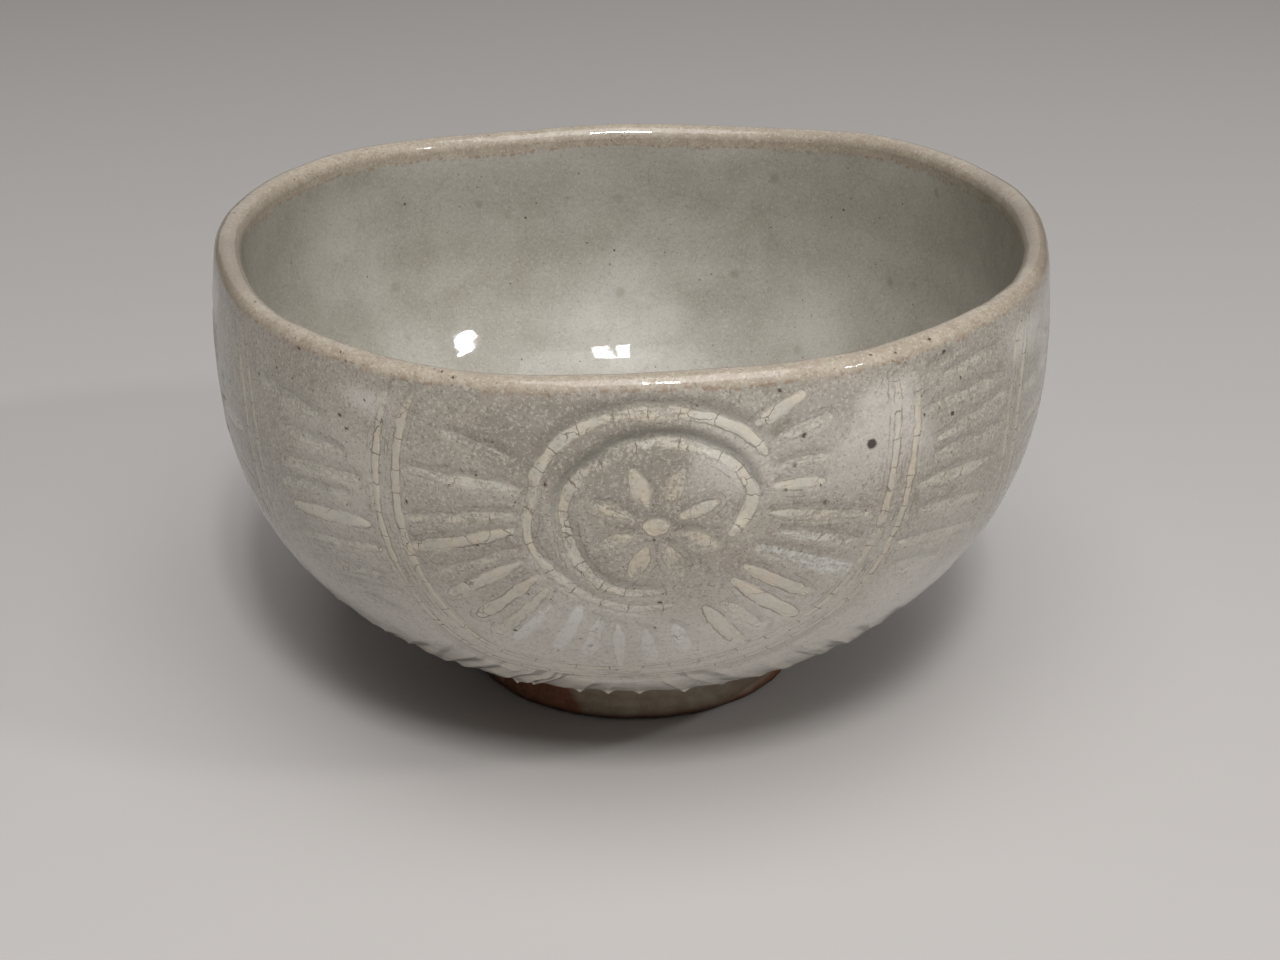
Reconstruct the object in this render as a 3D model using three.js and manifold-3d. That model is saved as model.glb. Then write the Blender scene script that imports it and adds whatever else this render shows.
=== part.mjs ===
import * as THREE from "three";
import { mergeVertices } from "three/addons/utils/BufferGeometryUtils.js";
import Module from "manifold-3d";

// A hand-thrown tea bowl of grey stoneware on a trimmed foot ring, inlaid with white slip.
// Millimetres, +Z up, the front roundel faces -Y. Azimuths are degrees from -Y towards +X.
// A drop is a distance down the outer wall, measured along it from the middle of the lip.

// Bowl
const MOUTH_RADIUS = 64;
const BELLY_RADIUS = 64.6;
const BELLY_HEIGHT = 56.8;
const BOWL_HEIGHT = 70.9;
const LIP_THICKNESS = 4;
const BELLY_THICKNESS = 4.2;
const FLOOR_THICKNESS = 5;
const OUTER_ROUNDNESS = { belly: 2.2, foot: 1.55 };
const INNER_ROUNDNESS = { belly: 2.2, floor: 2.9 };

// Foot ring, turned a little off the middle
const FOOT_RADIUS = 26.3;
const FOOT_NECK_RADIUS = 26;
const FOOT_HEIGHT = 8.2;
const FOOT_WALL = 6.3;
const FOOT_CHAMFER = 0.8;
const FOOT_SHIFT = 0.7;

// What the hand left in the mouth's plan and in the rim's height: lobes, size, turn in degrees
const PLAN_LOBES = [
  [1, 0.75, 172],
  [2, 1.3, 21],
  [3, 0.92, 6],
  [4, -0.93, 11],
];
const RIM_LOBES = [
  [1, 1.6, 100],
  [2, 0.52, 83],
  [3, 0.4, -3],
  [8, 0.27, 3],
];

// White slip, pressed into recesses of the wall
const SLIP_DEPTH = 0.9;
const SEAT_GAP = 0.3;
const CUT_ABOVE_WALL = 1;

// Roundels: two rings round a flower, inside two freehand circle lines that the lip cuts off
const PANELS = {
  front: { turn: 2.5, lower: 0, stray: 1 },
  right: { turn: 87.3, lower: 0, stray: 1 },
  back: { turn: 179.5, lower: 0, stray: -1 },
  left: { turn: -88.4, lower: 6, stray: -1 },
};
const MEDALLION_RADIUS = 14.2;
const MEDALLION_MARGIN = 1.45;
const MEDALLION_ASIDE = -0.65;
const MEDALLION_BELOW = 0.95;
const RING_SPACING = 3.3;
const RING_WIDTH = 1.6;
const CIRCLE_RADIUS = 36.8;
const LINE_SPACING = 3.3;
const LINE_WIDTH = 1.3;
const LINE_TOP_DROP = 1.5;
// Bearings are degrees anticlockwise from the right, counted on past 360: where the two open
// rings begin and end, where the radius of a ring or circle strays, and how far
const OUTER_RING_ENDS = [24, 285];
const OUTER_RING_STRAY = [
  [24, 2.9],
  [39, 1.9],
  [50, 0.9],
  [64, -0.2],
  [81, -1],
  [103, -1.2],
  [134, -0.2],
  [160, 0.3],
  [171, 0.1],
  [197, 1.2],
  [230, 0.9],
  [247, 1.6],
  [264, 2.1],
  [285, 2.3],
  [300, 1.5],
  [316, 0.8],
  [350, 0.2],
  [366, 1],
  [384, 2.9],
  [399, 1.9],
];
const INNER_RING_ENDS = [340, 646];
const INNER_RING_STRAY = [
  [340, 1.3],
  [345, 1.9],
  [360, 3.1],
  [366, 3.4],
  [382, 2.3],
  [401, 0.3],
  [429, -1.4],
  [450, -2.3],
  [488, -2.6],
  [530, -0.8],
  [565, -0.6],
  [582, 0.4],
  [596, 1.2],
  [607, 2.1],
  [624, 2.6],
  [646, 2.8],
];
const CIRCLE_STRAY = [
  [157, 0.4],
  [205, 0.4],
  [237, 1.6],
  [268, -0.9],
  [305, -2.3],
  [333, -1],
  [360, 0],
  [384, 2.4],
];

// Flower in the front medallion, in the middle of the inner ring's room
const FLOWER_ASIDE = 1.2;
const FLOWER_BELOW = 3.5;
const PETALS = 8;
const PETAL_LENGTH = 4.8;
const PETAL_WIDTH = 2.5;
const PETAL_MARGIN = 2.6;
const FLOWER_CENTRE_WIDTH = 2.8;

// Strokes cut by hand across the room between medallion and circle: the bearing where each way
// leaves the outer ring and where it meets the inner line, the shares of that way where the
// stroke starts and ends, and its width
const RAYS = [
  [157, 161, 0.22, 0.64, 1.8],
  [169, 175, 0.1, 0.92, 1.8],
  [182, 188, 0.11, 0.89, 1.8],
  [190, 196, 0.11, 0.92, 1.8],
  [200, 205, 0.11, 0.78, 1.8],
  [206, 212, 0.14, 0.83, 1.8],
  [216, 222.5, 0.11, 0.76, 2],
  [224.5, 230.5, 0.11, 0.78, 1.8],
  [230.5, 235.5, 0.25, 0.74, 1.6],
  [242, 247, 0.13, 0.67, 2.2],
  [252, 255.5, 0.19, 0.7, 2.2],
  [258.5, 264.5, 0.23, 0.91, 1.6],
  [269.5, 272.5, 0.29, 0.81, 2.2],
  [281, 283, 0.29, 0.67, 2.2],
  [296, 296.5, 0.19, 0.8, 2.4],
  [303, 305, 0.3, 0.74, 2],
  [314.5, 314, 0.12, 0.87, 2.2],
  [324, 322.5, 0.11, 0.74, 2],
  [336, 333, 0.11, 0.92, 2.6],
  [346, 342, 0.23, 0.84, 1.6],
  [354.5, 350, 0.1, 0.85, 1.8],
  [368, 361, 0.1, 0.43, 1.6],
  [376, 369, 0.11, 0.42, 1.6],
  [388, 381, 0.11, 0.48, 1.8],
  [398, 394, 0.24, 1, 1.8],
];

// Strokes in the two columns beside the front circle: drop where each starts and ends, the
// shares of the way from the front circle to the side circle there, and its width
const COLUMNS = {
  left: [
    [15.5, 17.5, 0.11, 0.68, 2.4],
    [22, 24, 0.09, 0.66, 2.4],
    [26, 29, 0.07, 0.64, 1.8],
    [31, 33.5, 0.14, 0.65, 2],
  ],
  right: [
    [12.5, 11, 0.19, 0.88, 2],
    [18.5, 19.5, 0.11, 0.77, 2],
    [22.5, 25, 0.18, 0.74, 2],
    [27, 30.5, 0.08, 0.76, 2],
  ],
};

// Width of a stroke along its length: share of the length, share of the width
const STROKE_TAPER = [
  [0, 0.4],
  [0.25, 1],
  [0.75, 1],
  [1, 0.5],
];
const PETAL_TAPER = [
  [0, 0.35],
  [0.35, 1],
  [0.65, 1],
  [1, 0.4],
];

// How finely the surfaces are divided
const TURN_STEPS = 54;
const WALL_STEPS = 10;
const INSIDE_STEPS = 7;
const MOUTH_STEPS = 3;
const LIP_STEPS = 4;
const RING_STEPS = 20;
const LINE_STEPS = 15;
const WALL_TABLE_STEPS = 200;
const BEARING_PASSES = 6;
const NORMAL_REACH = 0.5;
const MERGE_DISTANCE = 1e-4;

const DEGREE = Math.PI / 180;
const LIP_HEIGHT = BOWL_HEIGHT - LIP_THICKNESS / 2;

const stoneware = new THREE.MeshStandardMaterial({ color: 0xa7a296, roughness: 0.35, metalness: 0 });
const slip = new THREE.MeshStandardMaterial({ color: 0xd3cab8, roughness: 0.4, metalness: 0 });
const bareClay = new THREE.MeshStandardMaterial({ color: 0x73604f, roughness: 0.8, metalness: 0 });

const wasm = await Module();
wasm.setup();

function toSolid(geometry) {
  const bare = geometry.clone();
  bare.deleteAttribute("normal");
  bare.deleteAttribute("uv");
  const merged = mergeVertices(bare, MERGE_DISTANCE);
  const vertProperties = merged.attributes.position.array;
  const triVerts = new Uint32Array(merged.index.array);
  return new wasm.Manifold(new wasm.Mesh({ numProp: 3, vertProperties, triVerts }));
}

function toGeometry(solid) {
  const mesh = solid.getMesh();
  const geometry = new THREE.BufferGeometry();
  geometry.setAttribute("position", new THREE.BufferAttribute(mesh.vertProperties, 3));
  geometry.setIndex(new THREE.BufferAttribute(mesh.triVerts, 1));
  geometry.computeVertexNormals();
  return geometry;
}

// Value at x of the straight lines that join the points
function along(points, x) {
  const next = points.findIndex((point) => point[0] >= x);
  if (next === -1) return points[points.length - 1][1];
  if (next === 0) return points[0][1];
  const [x0, y0] = points[next - 1];
  const [x1, y1] = points[next];
  return y0 + ((y1 - y0) * (x - x0)) / (x1 - x0);
}

function lobed(lobes, azimuth) {
  const part = ([count, size, turn]) => size * Math.cos(count * (azimuth - turn) * DEGREE);
  return lobes.reduce((sum, lobe) => sum + part(lobe), 0);
}

// A rounded wall from its start radius at the bottom to its end radius at the belly
function roundedRadius(height, bottom, startRadius, endRadius, roundness, bottomPower) {
  const share = Math.min(1, (height - bottom) / (BELLY_HEIGHT - bottom));
  const rise = 1 - (1 - share) ** roundness;
  return startRadius + (endRadius - startRadius) * rise ** (1 / bottomPower);
}

// Above the belly the wall draws in to the mouth
function drawnIn(height, belly, mouth) {
  const share = Math.max(0, (height - BELLY_HEIGHT) / (LIP_HEIGHT - BELLY_HEIGHT));
  return (belly - mouth) * share ** 2;
}

function outerRadius(height) {
  const { belly, foot } = OUTER_ROUNDNESS;
  const below = roundedRadius(height, FOOT_HEIGHT, FOOT_NECK_RADIUS, BELLY_RADIUS, belly, foot);
  return below - drawnIn(height, BELLY_RADIUS, MOUTH_RADIUS);
}

function innerRadius(height) {
  const { belly, floor } = INNER_ROUNDNESS;
  const bellyInside = BELLY_RADIUS - BELLY_THICKNESS;
  const below = roundedRadius(height, FOOT_HEIGHT + FLOOR_THICKNESS, 0, bellyInside, belly, floor);
  return below - drawnIn(height, bellyInside, MOUTH_RADIUS - LIP_THICKNESS);
}

// Heights that crowd towards the bottom, where the wall turns fastest
function wallHeights(bottom, top, steps) {
  const share = (index) => (index / steps) ** 2;
  return Array.from({ length: steps + 1 }, (_, index) => bottom + (top - bottom) * share(index));
}

// Heights of the profile's points: up to the belly, then evenly on to the lip
function profileHeights(bottom, steps) {
  const toBelly = wallHeights(bottom, BELLY_HEIGHT, steps);
  const rise = (LIP_HEIGHT - BELLY_HEIGHT) / MOUTH_STEPS;
  const toLip = Array.from({ length: MOUTH_STEPS }, (_, index) => BELLY_HEIGHT + rise * (index + 1));
  return [...toBelly, ...toLip];
}

// The outer wall's profile from the lip's middle down to the neck: drop, radius, height
const wallTable = wallHeights(FOOT_HEIGHT, LIP_HEIGHT, WALL_TABLE_STEPS)
  .reverse()
  .map((height) => ({ radius: outerRadius(height), height }));
wallTable.forEach((row, index) => {
  const above = wallTable[index - 1] ?? row;
  const step = Math.hypot(row.radius - above.radius, row.height - above.height);
  row.drop = (above.drop ?? 0) + step;
});
const dropToRadius = wallTable.map((row) => [row.drop, row.radius]);
const dropToHeight = wallTable.map((row) => [row.drop, row.height]);

// A point of the round bowl, carried to where the hand-shaped bowl has it
function shaped(azimuth, radius, height) {
  const share = THREE.MathUtils.clamp((height - FOOT_HEIGHT) / (LIP_HEIGHT - FOOT_HEIGHT), 0, 1);
  const shapedRadius = radius * (1 + (share * lobed(PLAN_LOBES, azimuth)) / MOUTH_RADIUS);
  const shapedHeight = height + share * lobed(RIM_LOBES, azimuth);
  const x = shapedRadius * Math.sin(azimuth * DEGREE);
  const y = -shapedRadius * Math.cos(azimuth * DEGREE);
  return new THREE.Vector3(x, y, shapedHeight);
}

// A point at a drop on the wall, set out from it along its normal
function wallPoint(azimuth, drop, out) {
  const at = (distance) => [along(dropToRadius, distance), along(dropToHeight, distance)];
  const onWall = Math.max(0, drop);
  const below = at(onWall + NORMAL_REACH);
  const above = at(onWall - NORMAL_REACH);
  const length = Math.hypot(above[0] - below[0], above[1] - below[1]);
  const normal = [(above[1] - below[1]) / length, (below[0] - above[0]) / length];
  const aboveLip = Math.max(0, -drop);
  const [wallRadius, wallHeight] = at(drop);
  const radius = wallRadius + out * normal[0];
  const height = wallHeight + aboveLip + out * normal[1];
  return shaped(azimuth, radius, height);
}

// A patch of wall has its middle at an azimuth and a drop, u to the right and v up it
function patchPoint(patch, u, v, out) {
  const drop = patch.drop - v;
  const azimuth = patch.turn + u / along(dropToRadius, drop) / DEGREE;
  return wallPoint(azimuth, drop, out);
}

// A closed band of four-cornered sections along a path on a patch of wall.
// Each path point is { u, v, width }; grow widens and lengthens the band all round.
function band(patch, path, { top = 0, bottom = -SLIP_DEPTH, grow = 0 } = {}) {
  const end = path.length - 1;
  const sections = path.map((point, index) => {
    const before = path[Math.max(0, index - 1)];
    const after = path[Math.min(end, index + 1)];
    const length = Math.hypot(after.u - before.u, after.v - before.v);
    const tangent = [(after.u - before.u) / length, (after.v - before.v) / length];
    const push = index === 0 ? -grow : index === end ? grow : 0;
    const u = point.u + push * tangent[0];
    const v = point.v + push * tangent[1];
    const half = point.width / 2 + grow;
    const corner = (side, out) => patchPoint(patch, u - side * tangent[1], v + side * tangent[0], out);
    return [corner(half, top), corner(half, bottom), corner(-half, bottom), corner(-half, top)];
  });
  const positions = [];
  const triangle = (a, b, c) => positions.push(...a.toArray(), ...b.toArray(), ...c.toArray());
  const quad = (a, b, c, d) => {
    triangle(a, b, c);
    triangle(a, c, d);
  };
  for (let index = 0; index < end; index++) {
    const near = sections[index];
    const far = sections[index + 1];
    for (let side = 0; side < near.length; side++) {
      const next = (side + 1) % near.length;
      quad(near[next], near[side], far[side], far[next]);
    }
  }
  quad(...sections[0]);
  quad(...sections[end].toReversed());
  const geometry = new THREE.BufferGeometry();
  geometry.setAttribute("position", new THREE.Float32BufferAttribute(positions, 3));
  geometry.computeVertexNormals();
  return geometry;
}

function bearingPoint(centre, bearing, radius) {
  return {
    u: centre.u + radius * Math.cos(bearing * DEGREE),
    v: centre.v + radius * Math.sin(bearing * DEGREE),
  };
}

function pointBetween(start, end, share) {
  return {
    u: start.u + (end.u - start.u) * share,
    v: start.v + (end.v - start.v) * share,
  };
}

function strokePath(start, end, width, taper) {
  return taper.map(([share, widthShare]) => ({
    ...pointBetween(start, end, share),
    width: width * widthShare,
  }));
}

// An open ring of the medallion, from its first bearing to its last
function ringPath([first, last], stray, meanRadius) {
  return Array.from({ length: RING_STEPS + 1 }, (_, step) => {
    const bearing = first + (last - first) * (step / RING_STEPS);
    const radius = meanRadius + along(stray, bearing);
    return { ...bearingPoint(MEDALLION_CENTRE, bearing, radius), width: RING_WIDTH };
  });
}

// Radius of a panel's outer circle line at a bearing; a stray of -1 mirrors the freehand line
function circleRadius(panel, bearing) {
  const turned = panel.stray > 0 ? bearing : 540 - bearing;
  return CIRCLE_RADIUS + along(CIRCLE_STRAY, turned);
}

function panelPatch(panel) {
  const drop = MEDALLION_MARGIN + MEDALLION_RADIUS - MEDALLION_BELOW + panel.lower;
  return { turn: panel.turn, drop };
}

// Bearing where a panel's circle line, drawn inset, passes v on its right (side 1) or left (-1)
function circleBearing(panel, side, v, inset) {
  let bearing = side > 0 ? 360 : 180;
  for (let pass = 0; pass < BEARING_PASSES; pass++) {
    const rise = Math.asin(v / (circleRadius(panel, bearing) - inset)) / DEGREE;
    bearing = side > 0 ? 360 + rise : 180 - rise;
  }
  return bearing;
}

function circlePath(panel, inset) {
  const top = panelPatch(panel).drop - LINE_TOP_DROP;
  const first = circleBearing(panel, -1, top, inset);
  const last = circleBearing(panel, 1, top, inset);
  return Array.from({ length: LINE_STEPS }, (_, step) => {
    const bearing = first + (last - first) * (step / (LINE_STEPS - 1));
    const radius = circleRadius(panel, bearing) - inset;
    return { ...bearingPoint(CIRCLE_CENTRE, bearing, radius), width: LINE_WIDTH };
  });
}

// Azimuth of a panel's outer circle line at a drop, on its right (side 1) or left (side -1)
function circleEdge(panel, side, drop) {
  const patch = panelPatch(panel);
  const bearing = circleBearing(panel, side, patch.drop - drop, 0);
  const u = circleRadius(panel, bearing) * Math.cos(bearing * DEGREE);
  return patch.turn + u / along(dropToRadius, drop) / DEGREE;
}

const CIRCLE_CENTRE = { u: 0, v: 0 };
const MEDALLION_CENTRE = { u: MEDALLION_ASIDE, v: -MEDALLION_BELOW };
const FLOWER_CENTRE = { u: FLOWER_ASIDE, v: -FLOWER_BELOW };
const innerRingRadius = MEDALLION_RADIUS - RING_SPACING;

function panelBands(name, panel) {
  const patch = panelPatch(panel);
  const outerRing = ringPath(OUTER_RING_ENDS, OUTER_RING_STRAY, MEDALLION_RADIUS);
  const innerRing = ringPath(INNER_RING_ENDS, INNER_RING_STRAY, innerRingRadius);
  return {
    [`${name}_medallion_outer_ring`]: { patch, path: outerRing },
    [`${name}_medallion_inner_ring`]: { patch, path: innerRing },
    [`${name}_circle_outer_line`]: { patch, path: circlePath(panel, 0) },
    [`${name}_circle_inner_line`]: { patch, path: circlePath(panel, LINE_SPACING) },
  };
}

function flowerBands() {
  const patch = panelPatch(PANELS.front);
  const petalEnd = innerRingRadius - PETAL_MARGIN;
  const petalStart = petalEnd - PETAL_LENGTH;
  const bands = {};
  const centreHalf = FLOWER_CENTRE_WIDTH / 2;
  const centreStart = bearingPoint(FLOWER_CENTRE, 180, centreHalf);
  const centreEnd = bearingPoint(FLOWER_CENTRE, 0, centreHalf);
  const centrePath = strokePath(centreStart, centreEnd, FLOWER_CENTRE_WIDTH, PETAL_TAPER);
  bands.flower_centre = { patch, path: centrePath };
  for (let petal = 0; petal < PETALS; petal++) {
    const bearing = (petal / PETALS) * 360 + 180 / PETALS;
    const start = bearingPoint(FLOWER_CENTRE, bearing, petalStart);
    const end = bearingPoint(FLOWER_CENTRE, bearing, petalEnd);
    bands[`flower_petal_${petal + 1}`] = { patch, path: strokePath(start, end, PETAL_WIDTH, PETAL_TAPER) };
  }
  return bands;
}

function rayBands() {
  const patch = panelPatch(PANELS.front);
  const top = patch.drop - LINE_TOP_DROP;
  const bands = {};
  RAYS.forEach(([startBearing, endBearing, startShare, endShare, width], index) => {
    const ringRadius = MEDALLION_RADIUS + along(OUTER_RING_STRAY, startBearing);
    const leaves = bearingPoint(MEDALLION_CENTRE, startBearing, ringRadius);
    const climb = Math.sin(endBearing * DEGREE);
    const toLine = circleRadius(PANELS.front, endBearing) - LINE_SPACING;
    const toTop = climb > 0 ? top / climb : Infinity;
    const meets = bearingPoint(CIRCLE_CENTRE, endBearing, Math.min(toLine, toTop));
    const start = pointBetween(leaves, meets, startShare);
    const end = pointBetween(leaves, meets, endShare);
    bands[`ray_${index + 1}`] = { patch, path: strokePath(start, end, width, STROKE_TAPER) };
  });
  return bands;
}

function columnBands(name, side) {
  const bands = {};
  COLUMNS[name].forEach(([startDrop, endDrop, startShare, endShare, width], index) => {
    const nearLine = circleEdge(PANELS.front, side, startDrop);
    const farLine = circleEdge(PANELS[name], -side, endDrop);
    const way = (farLine - nearLine) * DEGREE * along(dropToRadius, startDrop);
    const patch = { turn: nearLine, drop: startDrop };
    const start = { u: startShare * way, v: 0 };
    const end = { u: endShare * way, v: startDrop - endDrop };
    bands[`${name}_column_stroke_${index + 1}`] = {
      patch,
      path: strokePath(start, end, width, STROKE_TAPER),
    };
  });
  return bands;
}

const inlays = {
  ...Object.assign({}, ...Object.entries(PANELS).map(([name, panel]) => panelBands(name, panel))),
  ...flowerBands(),
  ...rayBands(),
  ...columnBands("left", -1),
  ...columnBands("right", 1),
};

// One piece of clay: underside, outer wall, rounded lip, inner wall and floor
function bowlProfile() {
  const floorHeight = FOOT_HEIGHT + FLOOR_THICKNESS;
  const lipRadius = LIP_THICKNESS / 2;
  const points = [new THREE.Vector2(0, FOOT_HEIGHT)];
  for (const height of profileHeights(FOOT_HEIGHT, WALL_STEPS)) {
    points.push(new THREE.Vector2(outerRadius(height), height));
  }
  for (let step = 1; step < LIP_STEPS; step++) {
    const turn = (step / LIP_STEPS) * Math.PI;
    const radius = MOUTH_RADIUS - lipRadius + lipRadius * Math.cos(turn);
    points.push(new THREE.Vector2(radius, LIP_HEIGHT + lipRadius * Math.sin(turn)));
  }
  for (const height of profileHeights(floorHeight, INSIDE_STEPS).reverse()) {
    points.push(new THREE.Vector2(innerRadius(height), height));
  }
  return points;
}

function bowlGeometry() {
  const geometry = new THREE.LatheGeometry(bowlProfile(), TURN_STEPS).rotateX(Math.PI / 2);
  const position = geometry.attributes.position;
  const point = new THREE.Vector3();
  for (let index = 0; index < position.count; index++) {
    point.fromBufferAttribute(position, index);
    const azimuth = Math.atan2(point.x, -point.y) / DEGREE;
    const moved = shaped(azimuth, Math.hypot(point.x, point.y), point.z);
    position.setXYZ(index, moved.x, moved.y, moved.z);
  }
  return geometry;
}

function bowlBody() {
  const cutOptions = { top: CUT_ABOVE_WALL, bottom: -SLIP_DEPTH - SEAT_GAP, grow: SEAT_GAP };
  const recesses = Object.values(inlays).map(({ patch, path }) =>
    toSolid(band(patch, path, cutOptions)),
  );
  const allRecesses = recesses.reduce((sum, recess) => sum.add(recess));
  return toGeometry(toSolid(bowlGeometry()).subtract(allRecesses));
}

function footGeometry() {
  const top = FOOT_HEIGHT - SEAT_GAP;
  const inside = FOOT_RADIUS - FOOT_WALL;
  const profile = [
    [inside + FOOT_CHAMFER, 0],
    [FOOT_RADIUS - FOOT_CHAMFER, 0],
    [FOOT_RADIUS, FOOT_CHAMFER],
    [FOOT_NECK_RADIUS, top],
    [inside, top],
    [inside, FOOT_CHAMFER],
    [inside + FOOT_CHAMFER, 0],
  ];
  const points = profile.map(([radius, height]) => new THREE.Vector2(radius, height));
  return new THREE.LatheGeometry(points, TURN_STEPS).rotateX(Math.PI / 2);
}

function named(name, geometry, material) {
  const mesh = new THREE.Mesh(geometry, material);
  mesh.name = name;
  return mesh;
}

const footRing = named("foot_ring", footGeometry(), bareClay);
footRing.position.x = FOOT_SHIFT;

const inlayGroup = new THREE.Group();
for (const [name, { patch, path }] of Object.entries(inlays)) {
  inlayGroup.add(named(name, band(patch, path), slip));
}

const clay = new THREE.Group();
clay.add(named("bowl_body", bowlBody(), stoneware), footRing, inlayGroup);

// The origin lies on the table, under the middle of the bowl's overall width and depth
const extent = new THREE.Box3().setFromObject(clay);
const middle = extent.getCenter(new THREE.Vector3());
clay.position.set(-middle.x, -middle.y, -extent.min.z);

const teaBowl = new THREE.Group();
teaBowl.add(clay);

export default teaBowl;
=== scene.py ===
import math

import bpy
import numpy as np
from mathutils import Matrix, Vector


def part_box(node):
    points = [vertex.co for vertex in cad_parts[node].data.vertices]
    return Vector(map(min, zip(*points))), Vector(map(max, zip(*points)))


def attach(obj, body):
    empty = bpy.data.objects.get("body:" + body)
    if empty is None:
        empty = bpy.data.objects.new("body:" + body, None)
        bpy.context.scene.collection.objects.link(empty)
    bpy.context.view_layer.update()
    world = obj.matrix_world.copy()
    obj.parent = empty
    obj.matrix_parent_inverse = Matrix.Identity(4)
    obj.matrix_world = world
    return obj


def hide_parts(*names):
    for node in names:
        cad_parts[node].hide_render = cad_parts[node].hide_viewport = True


# A hand-thrown tea bowl of grey stoneware, inlaid with white slip under a crackled glaze.
# Sizes are in millimetres until a mesh is made. Azimuths are degrees from -Y towards +X.
# A drop is a distance down the outer wall from the middle of the lip; the lip lies above it.

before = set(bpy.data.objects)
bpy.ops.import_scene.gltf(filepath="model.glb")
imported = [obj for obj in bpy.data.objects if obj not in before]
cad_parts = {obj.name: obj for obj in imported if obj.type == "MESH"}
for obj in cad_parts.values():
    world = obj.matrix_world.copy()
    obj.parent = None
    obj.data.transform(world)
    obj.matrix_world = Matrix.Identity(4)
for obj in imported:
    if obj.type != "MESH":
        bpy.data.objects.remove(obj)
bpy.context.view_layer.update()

MM = 0.001
DEGREE = math.pi / 180

# Bowl and foot, as in the solids
MOUTH_RADIUS = 64
BELLY_RADIUS = 64.6
BELLY_HEIGHT = 56.8
BOWL_HEIGHT = 70.9
LIP_RADIUS = 2
LIP_HEIGHT = BOWL_HEIGHT - LIP_RADIUS
BELLY_THICKNESS = 4.2
FLOOR_HEIGHT = 13.2
OUTER_ROUNDNESS = (2.2, 1.55)
INNER_ROUNDNESS = (2.2, 2.9)
FOOT_RADIUS = 26.3
FOOT_NECK_RADIUS = 26
FOOT_HEIGHT = 8.2
FOOT_WALL = 6.3
FOOT_SHIFT = 0.7
PLAN_LOBES = [(1, 0.75, 172), (2, 1.3, 21), (3, 0.92, 6), (4, -0.93, 11)]
RIM_LOBES = [(1, 1.6, 100), (2, 0.52, 83), (3, 0.4, -3), (8, 0.27, 3)]

# Roundels: azimuth and drop of the middle, and -1 where the freehand circle is mirrored
PANELS = {
    "front": (2.5, 14.7, 1),
    "right": (87.3, 14.7, 1),
    "back": (179.5, 14.7, -1),
    "left": (-88.4, 20.7, -1),
}
MEDALLION_RADIUS = 14.2
MEDALLION_CENTRE = (-0.65, -0.95)
INNER_RING_RADIUS = 10.9
RING_WIDTH = 1.6
# Bearings are degrees anticlockwise from the right: ends of the open rings, and their strays
RING_ENDS = {"outer": (24, 285), "inner": (340, 646)}
RING_STRAYS = {
    "outer": [
        (24, 2.9), (39, 1.9), (50, 0.9), (64, -0.2), (81, -1), (103, -1.2), (134, -0.2),
        (160, 0.3), (171, 0.1), (197, 1.2), (230, 0.9), (247, 1.6), (264, 2.1), (285, 2.3),
        (300, 1.5), (316, 0.8), (350, 0.2), (366, 1),
    ],
    "inner": [
        (340, 1.3), (345, 1.9), (360, 3.1), (366, 3.4), (382, 2.3), (401, 0.3), (429, -1.4),
        (450, -2.3), (488, -2.6), (530, -0.8), (565, -0.6), (582, 0.4), (596, 1.2), (607, 2.1),
        (624, 2.6), (646, 2.8),
    ],
}
RING_COVERS = {
    "outer": [
        (24, 0.85), (50, 0.8), (64, 0.6), (81, 0.5), (103, 0.5), (119, 0.65), (134, 0.85),
        (160, 0.9), (185, 0.5), (200, 0.7), (230, 0.6), (250, 0.4), (285, 0.15),
    ],
    "inner": [
        (340, 0.8), (360, 0.95), (382, 0.9), (401, 0.8), (429, 0.6), (450, 0.55), (488, 0.45),
        (520, 0.6), (540, 0.7), (560, 0.6), (580, 0.9), (596, 0.8), (620, 0.5), (646, 0.4),
    ],
}
# How deep their grooves are, and how much glaze gathers in them
RING_GROOVES = {"outer": (0.45, 0.3), "inner": (0.8, 0.95)}
CIRCLE_RADIUS = 36.8
LINE_SPACING = 3.3
LINE_WIDTH = 1.3
LINE_TOP_DROP = 1.5
STRAY_BEARINGS = [157, 205, 237, 268, 305, 333, 360, 384]
STRAYS = [0.4, 0.4, 1.6, -0.9, -2.3, -1, 0, 2.4]
PETALS = 8
FLOWER_CENTRE = (1.2, -3.5)
PETAL_REACH = (3.5, 8.3)
PETAL_WIDTH = 2.5
FLOWER_CENTRE_WIDTH = 2.8

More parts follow.
